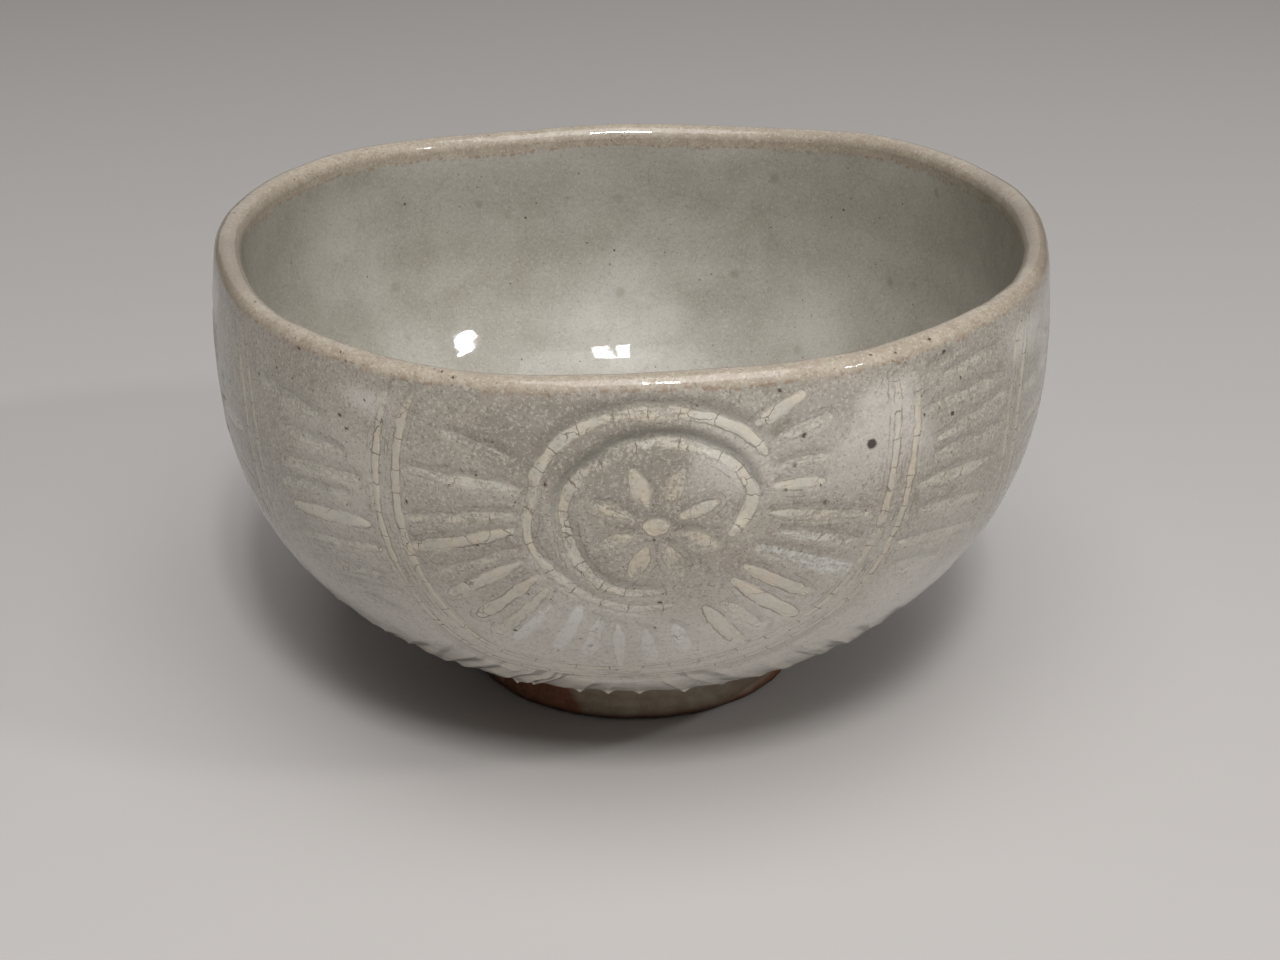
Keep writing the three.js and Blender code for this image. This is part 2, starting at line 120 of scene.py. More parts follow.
# Strokes: bearing off the ring, bearing at the line, shares of the way, width, cover, blueness
RAYS = [
    (157, 161, 0.22, 0.64, 1.8, 0.4, 0.4), (169, 175, 0.1, 0.92, 1.8, 0.55, 0.3),
    (182, 188, 0.11, 0.89, 1.8, 0.55, 0.1), (190, 196, 0.11, 0.92, 1.8, 0.9, 0),
    (200, 205, 0.11, 0.78, 1.8, 0.55, 0.1), (206, 212, 0.14, 0.83, 1.8, 0.8, 0.2),
    (216, 222.5, 0.11, 0.76, 2, 0.85, 0), (224.5, 230.5, 0.11, 0.78, 1.8, 0.55, 0),
    (230.5, 235.5, 0.25, 0.74, 1.6, 0.7, 0.9), (242, 247, 0.13, 0.67, 2.2, 0.8, 0.9),
    (252, 255.5, 0.19, 0.7, 2.2, 0.85, 0.8), (258.5, 264.5, 0.23, 0.91, 1.8, 0.8, 0.7),
    (269.5, 272.5, 0.29, 0.81, 2.2, 0.75, 0.9), (281, 283, 0.29, 0.67, 2.2, 0.75, 0.9),
    (296, 296.5, 0.19, 0.8, 2.4, 1, 0), (303, 305, 0.3, 0.74, 2, 0.5, 0),
    (314.5, 314, 0.12, 0.87, 2.2, 1, 0), (324, 322.5, 0.11, 0.74, 2, 0.9, 0),
    (336, 333, 0.11, 0.92, 2.4, 0.5, 0.85), (346, 342, 0.23, 0.84, 1.6, 0.5, 0.6),
    (354.5, 350, 0.1, 0.85, 1.8, 0.6, 0.1), (368, 361, 0.1, 0.43, 1.6, 0.65, 0.1),
    (376, 369, 0.11, 0.42, 1.6, 0.55, 0.1), (388, 381, 0.11, 0.48, 1.8, 0.45, 0.1),
    (398, 394, 0.24, 1, 1.8, 0.9, 0.2),
]
# Strokes beside the front circle: drops, shares of the way to the side circle, width, cover
COLUMNS = {
    "left": [
        (15.5, 17.5, 0.11, 0.68, 2.4, 0.5),
        (22, 24, 0.09, 0.66, 2.4, 0.85),
        (26, 29, 0.07, 0.64, 1.8, 0.55),
        (31, 33.5, 0.14, 0.65, 2, 0.5),
    ],
    "right": [
        (12.5, 11, 0.19, 0.88, 2, 0.55),
        (18.5, 19.5, 0.11, 0.77, 2, 0.55),
        (22.5, 25, 0.18, 0.74, 2, 0.5),
        (27, 30.5, 0.08, 0.76, 2, 0.5),
    ],
}
# More of them, without a solid of their own: azimuth and drop of both ends, width, cover
FRONT_EXTRAS = [
    (-39.8, 8.3, -52.2, 7, 2.2, 0.4), (-36.1, 12.3, -47.4, 12.4, 2.2, 0.4),
    (-35.6, 18.4, -48.5, 20.8, 2, 0.45), (-30.5, 33.7, -41.5, 35.6, 1.8, 0.4),
    (-31.9, 38.6, -38.1, 37.6, 2, 0.4), (37.2, 2.3, 40.9, 1.8, 1.6, 0.3),
    (39.8, 3.8, 49.6, 3.5, 1.8, 0.4), (37.8, 7.7, 49.2, 7.9, 2, 0.45),
    (39.2, 14.6, 51.5, 15.1, 1.8, 0.45), (36, 31.6, 43.8, 33.1, 1.8, 0.4),
]
# Larger iron specks in the glaze: azimuth, drop, radius
SPECKS = [
    (28.9, 9.9, 0.75), (19.2, 11, 0.33), (18.2, 14.1, 0.3), (23.2, 16.9, 0.25), (20.2, 6.9, 0.36),
    (28.9, 19.6, 0.22), (41.2, 9.5, 0.35), (39.5, 0.5, 0.35), (36.5, 8.2, 0.22), (17.3, 0.6, 0.3),
    (4.2, 30.8, 0.32), (3.6, 35.9, 0.22), (-1.5, 48, 0.24), (-4.8, 40.3, 0.27), (-9, 11.9, 0.3),
    (-11.7, 29.3, 0.22), (-14.6, 37.5, 0.3), (-17.4, 21.5, 0.22), (-26.2, 16.6, 0.22),
    (-34.8, 8.5, 0.25), (-35.8, 6.8, 0.3), (-48.8, 4, 0.25), (-53.9, 6.4, 0.25), (-31.7, 3.6, 0.16),
    (-22.9, 2.2, 0.16), (42.5, 5, 0.2), (22.5, 14.2, 0.18), (37.7, -1.8, 0.32), (32.3, -1.5, 0.22),
    (33.4, 0.2, 0.18), (29.2, -2.1, 0.2), (-60, -3, 0.3), (-54.4, -4.3, 0.26), (-48.2, -2.7, 0.18),
    (-43.7, -0.2, 0.22), (-36.3, -1.8, 0.16), (-34.8, -0.9, 0.2), (-21.7, -2.6, 0.22),
    (-20, -1.9, 0.24), (121, 18, 0.5), (160, 33, 0.4), (203, 12, 0.45), (250, 25, 0.4),
    (283, 8, 0.35),
]
# Folds torn into the wall's lower turn: azimuth and drop of the low end, height, bead
FOLDS = [
    (-51, 63, 0.65, 0), (-42, 64, 0.8, 0), (-36, 63, 0.75, 0), (-33, 68.3, 0.5, 0.25),
    (-25, 66.7, 0.75, 0.38), (-20.5, 66, 0.6, 0.3), (-10, 65.1, 0.85, 0.42), (-4, 64.9, 0.8, 0.4),
    (2.5, 64.9, 0.7, 0.35), (12, 65.4, 0.8, 0.4), (21, 66.4, 0.5, 0.25), (33, 68.8, 0.35, 0.18),
    (45, 64, 0.6, 0), (53, 63, 0.7, 0),
]
# Height up to which the foot's clay is bare: azimuth and height
BARE_CLAY_LINE = [
    (-180, 2), (-150, 5), (-120, 9), (-90, 9), (-60, 2), (-50, 1.5), (-43, 8), (-31, 8), (-17, 1),
    (27, 0.8), (42, 1.2), (60, 2.8), (80, 9), (110, 9), (140, 1.5), (180, 2),
]
STROKE_TAPER = ([0, 0.2, 0.85, 1], [0.45, 0.95, 1.05, 0.7])
PETAL_TAPER = ([0, 0.35, 0.65, 1], [0.35, 1, 1, 0.4])

# How finely the visible surfaces are divided
WALL_COLUMNS = 1280
WALL_ROWS = 270
INSIDE_COLUMNS = 512
INSIDE_ROWS = 194
STRIP_STEP = 0.45
STRIP_SIDES = 7
FOOT_COLUMNS = 420
FOOT_ROWS = 110
RECESS_ROWS = 70
TABLE_STEPS = 4000
FIRST_AZIMUTH = -180
AZIMUTH_STEP = 360 / WALL_COLUMNS

random = np.random.default_rng(11)


def srgb(*levels):
    """A colour given by its 0-255 display levels, as Blender's linear values."""
    shares = [level / 255 for level in levels]
    linear = [s / 12.92 if s <= 0.04045 else ((s + 0.055) / 1.055) ** 2.4 for s in shares]
    return (*linear, 1)


def smooth(low, high, value):
    """From 0 at low to 1 at high, with soft ends."""
    share = np.clip((value - low) / (high - low), 0, 1)
    return share * share * (3 - 2 * share)


def lattice(i, j, k, seed):
    """A value from -1 to 1 for whole-numbered cells, always the same for a seed."""
    h = (i * 374761393 + j * 668265263 + k * 1442695041 + seed * 974634777) & 0xFFFFFFFF
    h = ((h ^ (h >> 13)) * 1274126177) & 0xFFFFFFFF
    return ((h ^ (h >> 16)) & 0xFFFF) / 32767.5 - 1


def noise(points, size, seed):
    """Smooth noise from -1 to 1 at points of shape (..., 3), with cells of that size."""
    scaled = points / size + 500
    cell = np.floor(scaled).astype(np.int64)
    part = scaled - cell
    part = part * part * (3 - 2 * part)
    total = 0
    for di in (0, 1):
        for dj in (0, 1):
            for dk in (0, 1):
                weight = 1
                for axis, step in enumerate((di, dj, dk)):
                    weight = weight * (part[..., axis] if step else 1 - part[..., axis])
                corner = lattice(cell[..., 0] + di, cell[..., 1] + dj, cell[..., 2] + dk, seed)
                total = total + weight * corner
    return total


def hump(value, width):
    """A bell curve, 1 where value is 0."""
    return np.exp(-((value / width) ** 2))


def way_along(points):
    """Distance along a path at each of its points."""
    return np.concatenate([[0], np.cumsum(np.hypot(*np.diff(points, axis=0).T))])


def turn_steps(count):
    """Azimuths of a closed row of points."""
    return FIRST_AZIMUTH + 360 / count * np.arange(count)


# The round bowl's profiles


def rounded_radius(height, bottom, start, end, roundness):
    share = np.clip((height - bottom) / (BELLY_HEIGHT - bottom), 0, 1)
    rise = 1 - (1 - share) ** roundness[0]
    return start + (end - start) * rise ** (1 / roundness[1])


def drawn_in(height, belly, mouth):
    share = np.clip((height - BELLY_HEIGHT) / (LIP_HEIGHT - BELLY_HEIGHT), 0, None)
    return (belly - mouth) * share**2


def outer_radius(height):
    below = rounded_radius(height, FOOT_HEIGHT, FOOT_NECK_RADIUS, BELLY_RADIUS, OUTER_ROUNDNESS)
    return below - drawn_in(height, BELLY_RADIUS, MOUTH_RADIUS)


def inner_radius(height):
    belly = BELLY_RADIUS - BELLY_THICKNESS
    below = rounded_radius(height, FLOOR_HEIGHT, 0, belly, INNER_ROUNDNESS)
    return below - drawn_in(height, belly, MOUTH_RADIUS - 2 * LIP_RADIUS)


def profile(bottom, radius_at):
    """Rows down from the lip: distance, radius, height, and the normal to the left of the way."""
    share = np.linspace(0, 1, TABLE_STEPS)
    height = bottom + (LIP_HEIGHT - bottom) * (1 - share) ** 3
    radius = radius_at(height)
    distance = way_along(np.stack([radius, height], axis=-1))
    dr = np.gradient(radius, distance)
    dh = np.gradient(height, distance)
    length = np.hypot(dr, dh)
    return distance, radius, height, -dh / length, dr / length


OUTSIDE = profile(FOOT_HEIGHT, outer_radius)
INSIDE = profile(FLOOR_HEIGHT, inner_radius)
WALL_LENGTH = OUTSIDE[0][-1]
INSIDE_LENGTH = INSIDE[0][-1]
LIP_LENGTH = math.pi * LIP_RADIUS


def wall_section(drop):
    """Radius, height and outward normal at a drop; a drop below 0 lies on the lip."""
    rows = [np.interp(drop, OUTSIDE[0], row) for row in OUTSIDE[1:]]
    turn = np.clip(-drop, 0, None) / LIP_RADIUS
    cos, sin = np.cos(turn), np.sin(turn)
    lip = (MOUTH_RADIUS - LIP_RADIUS + LIP_RADIUS * cos, LIP_HEIGHT + LIP_RADIUS * sin, cos, sin)
    return [np.where(drop < 0, on_lip, row) for on_lip, row in zip(lip, rows)]


def inside_section(down):
    radius, height, out, up = [np.interp(down, INSIDE[0], row) for row in INSIDE[1:]]
    return radius, height, -out, -up


def radius_at(drop):
    return np.interp(drop, OUTSIDE[0], OUTSIDE[1])


def lobed(lobes, azimuth):
    """What waves of (count, size, azimuth of a crest) add up to."""
    return sum(size * np.cos(count * (azimuth - turn) * DEGREE) for count, size, turn in lobes)


# The solids stand on the middle of the bowl's box, so the foot's middle gives the shift
foot_low, foot_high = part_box("foot_ring")
SHIFT_X = (foot_low.x + foot_high.x) / 2 / MM - FOOT_SHIFT
SHIFT_Y = (foot_low.y + foot_high.y) / 2 / MM


def shaped(azimuth, radius, height):
    share = np.clip((height - FOOT_HEIGHT) / (LIP_HEIGHT - FOOT_HEIGHT), 0, 1)
    reach = radius * (1 + share * lobed(PLAN_LOBES, azimuth) / MOUTH_RADIUS)
    z = height + share * smooth(0, 24, radius) * lobed(RIM_LOBES, azimuth)
    x = reach * np.sin(azimuth * DEGREE) + SHIFT_X
    y = -reach * np.cos(azimuth * DEGREE) + SHIFT_Y
    return np.stack(np.broadcast_arrays(x, y, z), axis=-1)


def on_section(section, azimuth, out):
    radius, height, normal_out, normal_up = section
    return shaped(azimuth, radius + out * normal_out, height + out * normal_up)


# Strokes of slip: every one is a path of azimuths, drops and half widths


def ring_radius(part, bearing):
    mean = MEDALLION_RADIUS if part == "outer" else INNER_RING_RADIUS
    return mean + np.interp(bearing, *zip(*RING_STRAYS[part]), period=360)


def circle_radius(stray, bearing):
    turned = bearing if stray > 0 else 540 - bearing
    return CIRCLE_RADIUS + np.interp(turned, STRAY_BEARINGS, STRAYS)


def circle_bearing(stray, side, v, inset):
    """The bearing at which a big circle, or the line inside it, has that v."""
    bearing = 360 if side > 0 else 180
    for _ in range(6):
        rise = math.asin(v / (circle_radius(stray, bearing) - inset)) / DEGREE
        bearing = 360 + rise if side > 0 else 180 - rise
    return bearing


def circle_edge(panel, side, drop):
    """Azimuth of a big circle's edge at a drop, on its left (-1) or right (1)."""
    turn, middle, stray = PANELS[panel]
    bearing = circle_bearing(stray, side, middle - drop, 0)
    u = circle_radius(stray, bearing) * math.cos(bearing * DEGREE)
    return turn + u / radius_at(drop) / DEGREE


def bearing_point(centre, bearing, radius):
    turn = bearing * DEGREE
    return np.array(centre) + radius * np.array([math.cos(turn), math.sin(turn)])


STROKES = []


def add_stroke(piece, node, turn, drop, points, widths, cover, blue=0, kind="stroke"):
    """points are (u, v) on the patch of wall that has its middle at this turn and drop."""
    points = np.array(points, float)
    lengths = way_along(points)
    count = max(6, int(round(lengths[-1] / STRIP_STEP)) + 1)
    along = np.linspace(0, lengths[-1], count)
    u = np.interp(along, lengths, points[:, 0])
    v = np.interp(along, lengths, points[:, 1])
    half = np.interp(along, lengths, widths) / 2
    seed = len(STROKES) + 1
    line = np.stack([along, np.zeros(count), np.full(count, seed * 7.3)], axis=-1)
    wobble = 1 + 0.2 * noise(line, 3.1, 5) + 0.1 * noise(line, 1.1, 6)
    if callable(cover):
        cover = cover(u, v)
    cover = np.clip(cover * (1 + 0.3 * noise(line, 6, 7)), 0.1, 1)
    STROKES.append({
        "piece": piece,
        "node": node,
        "azimuth": turn + u / radius_at(drop - v) / DEGREE,
        "drop": drop - v,
        "half": half * wobble,
        "cover": np.broadcast_to(cover, along.shape).copy(),
        "blue": blue,
        "crossing": kind != "stroke",
        "kind": kind,
        "seed": seed,
        "along": along,
    })


def add_to_panel(name, group, node, *stroke):
    turn, drop, _ = PANELS[name]
    add_stroke(f"{name}_{group}", node, turn, drop, *stroke)


def front_node(name, node):
    """The front panel's strokes and flower have solids of their own."""
    return node if name == "front" else None


def tapered(start, end, width, taper, steps=9):
    share = np.linspace(0, 1, steps)
    start, end = np.array(start), np.array(end)
    return start + (end - start) * share[:, None], width * np.interp(share, *taper)


def add_rings(name):
    strength = 1 if name == "front" else 0.8
    for part, (first, last) in RING_ENDS.items():
        bearings = np.linspace(first, last, 110)
        points = [bearing_point(MEDALLION_CENTRE, b, ring_radius(part, b)) for b in bearings]
        ends = [first, first + 6, last - 8, last]
        widths = RING_WIDTH * np.interp(bearings, ends, [0.6, 1, 1, 0.6])

        def cover(u, v):
            bearing = np.degrees(np.arctan2(v - MEDALLION_CENTRE[1], u - MEDALLION_CENTRE[0]))
            past_first = (bearing - first) % 360
            return strength * np.interp(first + past_first, *zip(*RING_COVERS[part]))

        node = f"{name}_medallion_{part}_ring"
        add_to_panel(name, "medallion_rings", node, points, widths, cover, 0.1, "ring")


def add_circle_lines(name):
    _, drop, stray = PANELS[name]
    top = drop - LINE_TOP_DROP
    strength = 1 if name == "front" else 0.7

    def cover(u, v):
        lower_share = 0.68 + 0.26 * smooth(-20, -2, v)
        return strength * lower_share * (0.35 + 0.65 * smooth(0, 7, top - v + 1))

    for part, inset in (("outer", 0), ("inner", LINE_SPACING)):
        first, last = [circle_bearing(stray, side, top, inset) for side in (-1, 1)]
        bearings = np.linspace(first, last, 120)
        points = [bearing_point((0, 0), b, circle_radius(stray, b) - inset) for b in bearings]
        widths = np.full(len(bearings), LINE_WIDTH)
        node = f"{name}_circle_{part}_line"
        add_to_panel(name, "circle_lines", node, points, widths, cover, 0, "line")


def add_rays(name):
    _, drop, stray = PANELS[name]
    top = drop - LINE_TOP_DROP
    for number, ray in enumerate(RAYS, 1):
        leaving, meeting, first_share, last_share, width, cover, blue = ray
        if name != "front":
            leaving += random.uniform(-3, 3)
            meeting += random.uniform(-3, 3)
            first_share += random.uniform(-0.05, 0.08)
            last_share = min(0.95, last_share + random.uniform(-0.12, 0.12))
            width *= random.uniform(0.85, 1.2)
            cover = random.uniform(0.35, 0.95)
        if stray < 0:
            leaving, meeting = 540 - leaving, 540 - meeting
        climb = math.sin(meeting * DEGREE)
        reach = circle_radius(stray, meeting) - LINE_SPACING
        if climb > 0:
            reach = min(reach, top / climb)
        ring = bearing_point(MEDALLION_CENTRE, leaving, ring_radius("outer", leaving))
        way = bearing_point((0, 0), meeting, reach) - ring
        start, end = ring + way * first_share, ring + way * last_share
        points, widths = tapered(start, end, width, STROKE_TAPER)
        node = front_node(name, f"ray_{number}")
        add_to_panel(name, "rays", node, points, widths, cover, blue)


def add_flower(name):
    start, end = [bearing_point(FLOWER_CENTRE, b, FLOWER_CENTRE_WIDTH / 2) for b in (180, 0)]
    points, widths = tapered(start, end, FLOWER_CENTRE_WIDTH, PETAL_TAPER)
    add_to_panel(name, "flower", front_node(name, "flower_centre"), points, widths, 0.8)
    for petal in range(PETALS):
        bearing = 360 * petal / PETALS + 22.5
        start, end = [bearing_point(FLOWER_CENTRE, bearing, reach) for reach in PETAL_REACH]
        points, widths = tapered(start, end, PETAL_WIDTH, PETAL_TAPER)
        node = front_node(name, f"flower_petal_{petal + 1}")
        add_to_panel(name, "flower", node, points, widths, random.uniform(0.6, 0.95))


def add_column(name, side):
    for number, stroke in enumerate(COLUMNS[name], 1):
        start_drop, end_drop, start_share, end_share, width, cover = stroke
        near = circle_edge("front", side, start_drop)
        far = circle_edge(name, -side, end_drop)
        way = (far - near) * DEGREE * radius_at(start_drop)
        start, end = (start_share * way, 0), (end_share * way, start_drop - end_drop)
        points, widths = tapered(start, end, width, STROKE_TAPER)
        node = f"{name}_column_stroke_{number}"
        add_stroke(f"{name}_column", node, near, start_drop, points, widths, cover, 0.2)


def add_free_stroke(piece, azimuth, drop, end_azimuth, end_drop, width, cover):
    end = ((end_azimuth - azimuth) * DEGREE * radius_at(end_drop), drop - end_drop)
    points, widths = tapered((0, 0), end, width, STROKE_TAPER)
    add_stroke(piece, None, azimuth, drop, points, widths, cover, 0.2)


def add_back_column(first_panel, side):
    """A column between a side panel and the back one."""
    for column_drop in np.arange(5, 42, 4.1):
        start_drop = column_drop + random.uniform(-0.8, 0.8)
        end_drop = start_drop + random.uniform(-0.5, 3)
        near = circle_edge(first_panel, side, start_drop)
        far = circle_edge("back", -side, end_drop)
        far = far - 360 if side < 0 else far
        shares = np.array([random.uniform(0.08, 0.2), random.uniform(0.6, 0.88)])
        start, end = near + (far - near) * shares
        cover = random.uniform(0.35, 0.8)
        piece = f"{first_panel}_back_column"
        add_free_stroke(piece, start, start_drop, end, end_drop, 2, cover)


for panel_name in PANELS:
    add_rings(panel_name)
    add_circle_lines(panel_name)
    add_rays(panel_name)
    add_flower(panel_name)
add_column("left", -1)
add_column("right", 1)
for extra in FRONT_EXTRAS:
    add_free_stroke("left_column" if extra[0] < 0 else "right_column", *extra)
add_back_column("right", 1)
add_back_column("left", -1)

# The wall's grid of azimuths and drops, from the lip's inner edge down to the neck
drops = np.linspace(-LIP_LENGTH, WALL_LENGTH, WALL_ROWS)
ROW_STEP = drops[1] - drops[0]
wall_azimuth, wall_drop = np.meshgrid(turn_steps(WALL_COLUMNS), drops)
wall_base = wall_section(wall_drop)
wall_points = on_section(wall_base, wall_azimuth, 0)


def sample(field, azimuth, drop):
    """The grid's value at azimuths and drops, between its points."""
    column = (azimuth - FIRST_AZIMUTH) / AZIMUTH_STEP
    row = np.clip((drop - drops[0]) / ROW_STEP, 0, WALL_ROWS - 1.001)
    left, top = np.floor(column).astype(int), np.floor(row).astype(int)
    across, down = column - left, row - top
    left, right = left % WALL_COLUMNS, (left + 1) % WALL_COLUMNS
    upper = field[top, left] * (1 - across) + field[top, right] * across
    lower = field[top + 1, left] * (1 - across) + field[top + 1, right] * across
    return upper * (1 - down) + lower * down


def past(azimuth, drop):
    """How many mm the wall's points lie past an azimuth, at the girth of that drop."""
    return ((wall_azimuth - azimuth + 180) % 360 - 180) * DEGREE * radius_at(drop)


# What the strokes leave on the wall: distance to the nearest edge, the stroke there, and gouges
STROKE_KEYS = ("cover", "slip_blue", "along", "across", "crossing")
edge_distance = np.full(wall_drop.shape, 9.0)
nearest = {key: np.zeros(wall_drop.shape) for key in STROKE_KEYS}
gouges = np.zeros(wall_drop.shape)
REACH = 4.0
# Depth of a gouge, and how far it lies above the slip
GOUGES = {"stroke": (0.38, 0.4), "line": (0.22, 0.0), "ring": (0.0, 0.0)}


def window_of(azimuth, drop):
    """Columns and rows of the grid round a short stretch of a stroke."""
    margin = REACH / radius_at(drop[0]) / DEGREE
    left = (min(azimuth) - margin - FIRST_AZIMUTH) // AZIMUTH_STEP
    right = (max(azimuth) + margin - FIRST_AZIMUTH) // AZIMUTH_STEP
    top = (min(drop) - REACH - drops[0]) // ROW_STEP
    bottom = (max(drop) + REACH - drops[0]) // ROW_STEP + 2
    top, bottom = np.clip(top, 0, WALL_ROWS - 2), np.clip(bottom, 1, WALL_ROWS)
    return np.arange(int(left), int(right) + 2), np.arange(int(top), int(bottom))


for stroke in STROKES:
    gouge_depth, gouge_above = GOUGES[stroke["kind"]]
    for i in range(0, len(stroke["along"]) - 1, 2):
        ends = [i, min(i + 2, len(stroke["along"]) - 1)]
        azimuth, drop = stroke["azimuth"][ends], stroke["drop"][ends]
        columns, rows = window_of(azimuth, drop)
        window = np.ix_(rows, columns % WALL_COLUMNS)
        local = radius_at(drop[0])
        turned = FIRST_AZIMUTH + AZIMUTH_STEP * columns - azimuth[0]
        u, v = turned[None, :] * DEGREE * local, (drops[rows] - drop[0])[:, None]
        du, dv = (azimuth[1] - azimuth[0]) * DEGREE * local, drop[1] - drop[0]
        share = np.clip((u * du + v * dv) / (du * du + dv * dv), 0, 1)
        half, cover, along = [
            first + (last - first) * share
            for first, last in (stroke[key][ends] for key in ("half", "cover", "along"))
        ]
        edge = np.hypot(u - share * du, v - share * dv) - half
        found = {
            "cover": cover,
            "slip_blue": stroke["blue"],
            "along": along + 20 * stroke["seed"],
            "across": (v * du - u * dv) / math.hypot(du, dv),
            "crossing": stroke["crossing"],
        }
        nearer = edge < edge_distance[window]
        for key, values in found.items():
            nearest[key][window] = np.where(nearer, values, nearest[key][window])
        edge_distance[window] = np.minimum(edge, edge_distance[window])
        from_middle = np.hypot(u - share * du, v + gouge_above - share * dv)
        depth = gouge_depth * (1 - 0.65 * cover)
        depth = depth * np.exp(-((from_middle / (half + 0.3)) ** 2) * 1.3)
        gouges[window] = np.maximum(gouges[window], depth)

# Relief of the wall, outwards
relief = 0.14 * noise(wall_points, 15, 21)
relief = relief + 0.06 * noise(wall_points, 5.5, 22) + 0.02 * noise(wall_points, 1.6, 23)
relief -= gouges
pool = smooth(0.1, 0.4, gouges) * 0.6
outside_circles = np.full(wall_drop.shape, 99.0)
for turn, drop, stray in PANELS.values():
    u, v = past(turn, wall_drop), drop - wall_drop
    # The ring's grooves lie a little above the slip in them
    ring_u, ring_v = u - MEDALLION_CENTRE[0], v - MEDALLION_CENTRE[1] - 0.9
    away, bearing = np.hypot(ring_u, ring_v), np.degrees(np.arctan2(ring_v, ring_u))
    rounds = [6 * np.cos(bearing * DEGREE), 6 * np.sin(bearing * DEGREE)]
    rounds = np.stack([*rounds, np.full(bearing.shape, turn)], axis=-1)
    wander = 0.25 * noise(rounds, 3, 31)
    strength = 0.72 + 0.28 * np.sin(bearing * DEGREE) + 0.2 * noise(rounds, 2.5, 32)
    for part, (first, last) in RING_ENDS.items():
        depth, wet = RING_GROOVES[part]
        past_first = (bearing - first) % 360
        drawn = smooth(-1, 9, past_first) * smooth(last - first + 2, last - first - 14, past_first)
        drawn = drawn * (wall_drop > 0)
        from_ring = away - ring_radius(part, bearing) - wander
        shoulder = 0.2 * hump(from_ring - 2.1, 0.9)
        relief += strength * depth * drawn * (shoulder - hump(from_ring, 1.2))
        band = smooth(-0.8, 0.3, from_ring) * smooth(2.0, 0.9, from_ring)
        pool = np.maximum(pool, wet * np.clip(strength, 0, 1) * drawn * band)
    # Below, the wall is cut back along the outside of the circle
    bearing = np.degrees(np.arctan2(v, u)) % 360
    outside_circle = np.hypot(u, v) - circle_radius(stray, bearing)
    outside_circles = np.minimum(outside_circles, outside_circle)
    cut = smooth(-0.5, -0.8, np.sin(bearing * DEGREE)) * hump(outside_circle - 1.6, 0.9)
    relief -= 0.38 * cut
    pool = np.maximum(pool, 0.6 * cut)

# Trimming left torn facets on the lower wall that climb aslant, to the middle of every panel
LEAN = 1.15
low_wall = smooth(42, 51, wall_drop) * smooth(0.5, 3, outside_circles)
lean = LEAN * np.sin(2 * wall_azimuth * DEGREE)
slant = (wall_azimuth - lean * (wall_drop - 56)) * DEGREE
torn = np.stack([9.5 * np.cos(slant), 9.5 * np.sin(slant), wall_drop / 9], axis=-1)
fold = 1 - np.abs(noise(torn, 1, 41)) / 0.3
ridges = np.clip(fold, -0.9, 1) + 0.45 * noise(torn * 2.3, 1, 42)
aside = 0.45 + 0.55 * np.abs(np.sin(2 * (wall_azimuth - 2.5) * DEGREE))
torn_relief = 0.14 * low_wall * aside * ridges * (0.85 + 0.4 * noise(wall_points, 20, 43))
more_folds = [
    (turn + random.uniform(-3, 3), 66 + random.uniform(-1, 3), random.uniform(0.3, 0.75), 0.2)
    for turn in range(60, 306, 8)
]
free_of_circles = smooth(0.5, 2.5, outside_circles)
for azimuth, drop, height, bead in FOLDS + more_folds:
    across = past(azimuth, drop)
    down = wall_drop - drop
    bead_down = down + 0.35 * across
    torn_relief += bead * np.exp(-((across / 0.6) ** 2) - (bead_down / 0.8) ** 2)
    climb = LEAN * math.sin(2 * azimuth * DEGREE) * DEGREE * radius_at(drop)
    from_ridge = across - climb * down + 0.3 * noise(wall_points, 4, 44)
    strength = height * (0.35 if -12 < azimuth < 35 else 1.0) * free_of_circles
    strength = strength * smooth(45, 54, wall_drop) * smooth(5, 1, down)
    crest = strength * np.exp(-np.abs(from_ridge) / 0.45)
    torn_relief += (0.16 + 0.7 * bead) * crest - 0.38 * strength * hump(from_ridge - 1.9, 1.3)
relief += torn_relief
# Painted light and shade on the folds: lighter on the face above each crest, darker on the face
# under it, as if lit from above
painted_fold_shading = np.clip(10 * np.gradient(torn_relief, axis=0) / ROW_STEP, -1, 1)

# The lip is a little uneven
relief += smooth(3, 0, wall_drop) * 0.09 * noise(wall_points, 6, 51)
relief *= smooth(WALL_LENGTH, WALL_LENGTH - 0.8, wall_drop)

wall_surface = on_section(wall_base, wall_azimuth, relief)

# Masks that the glaze reads
uneven = noise(wall_points, 9, 61)
lip_edge = -0.5 + 0.4 * noise(wall_points, 4, 63) + 0.25 * noise(wall_points, 1.4, 64)
lip_mask = smooth(0.6, -0.6, wall_drop - lip_edge)
# Bluish: a paler blue-grey glaze, and on the lower wall also painted light standing in for the pale
# floor's bounce and reflection
bluish_and_painted_floor_light = smooth(22, 44, wall_drop + 4 * uneven) * (0.85 + 0.15 * uneven)
bluish_and_painted_floor_light *= 1 - 0.7 * hump(wall_azimuth + 50, 22) * smooth(54, 44, wall_drop)
under_lip = smooth(0.5, 4, wall_drop) * smooth(18, 8, wall_drop)
patch = hump(wall_azimuth - 24, 10) * hump(wall_drop - 7, 6)
for paler in (
    0.6 * under_lip * smooth(0, 0.6, noise(wall_points, 11, 65)),
    0.3 * smooth(0.2, 0.9, patch + 0.3 * noise(wall_points, 4, 67)),
    0.3 * hump(wall_azimuth + 36, 9) * smooth(4, 10, wall_drop),
):
    bluish_and_painted_floor_light = np.maximum(bluish_and_painted_floor_light, paler)
pool = np.clip(pool + 0.2 * smooth(0.2, -0.4, relief), 0, 1)
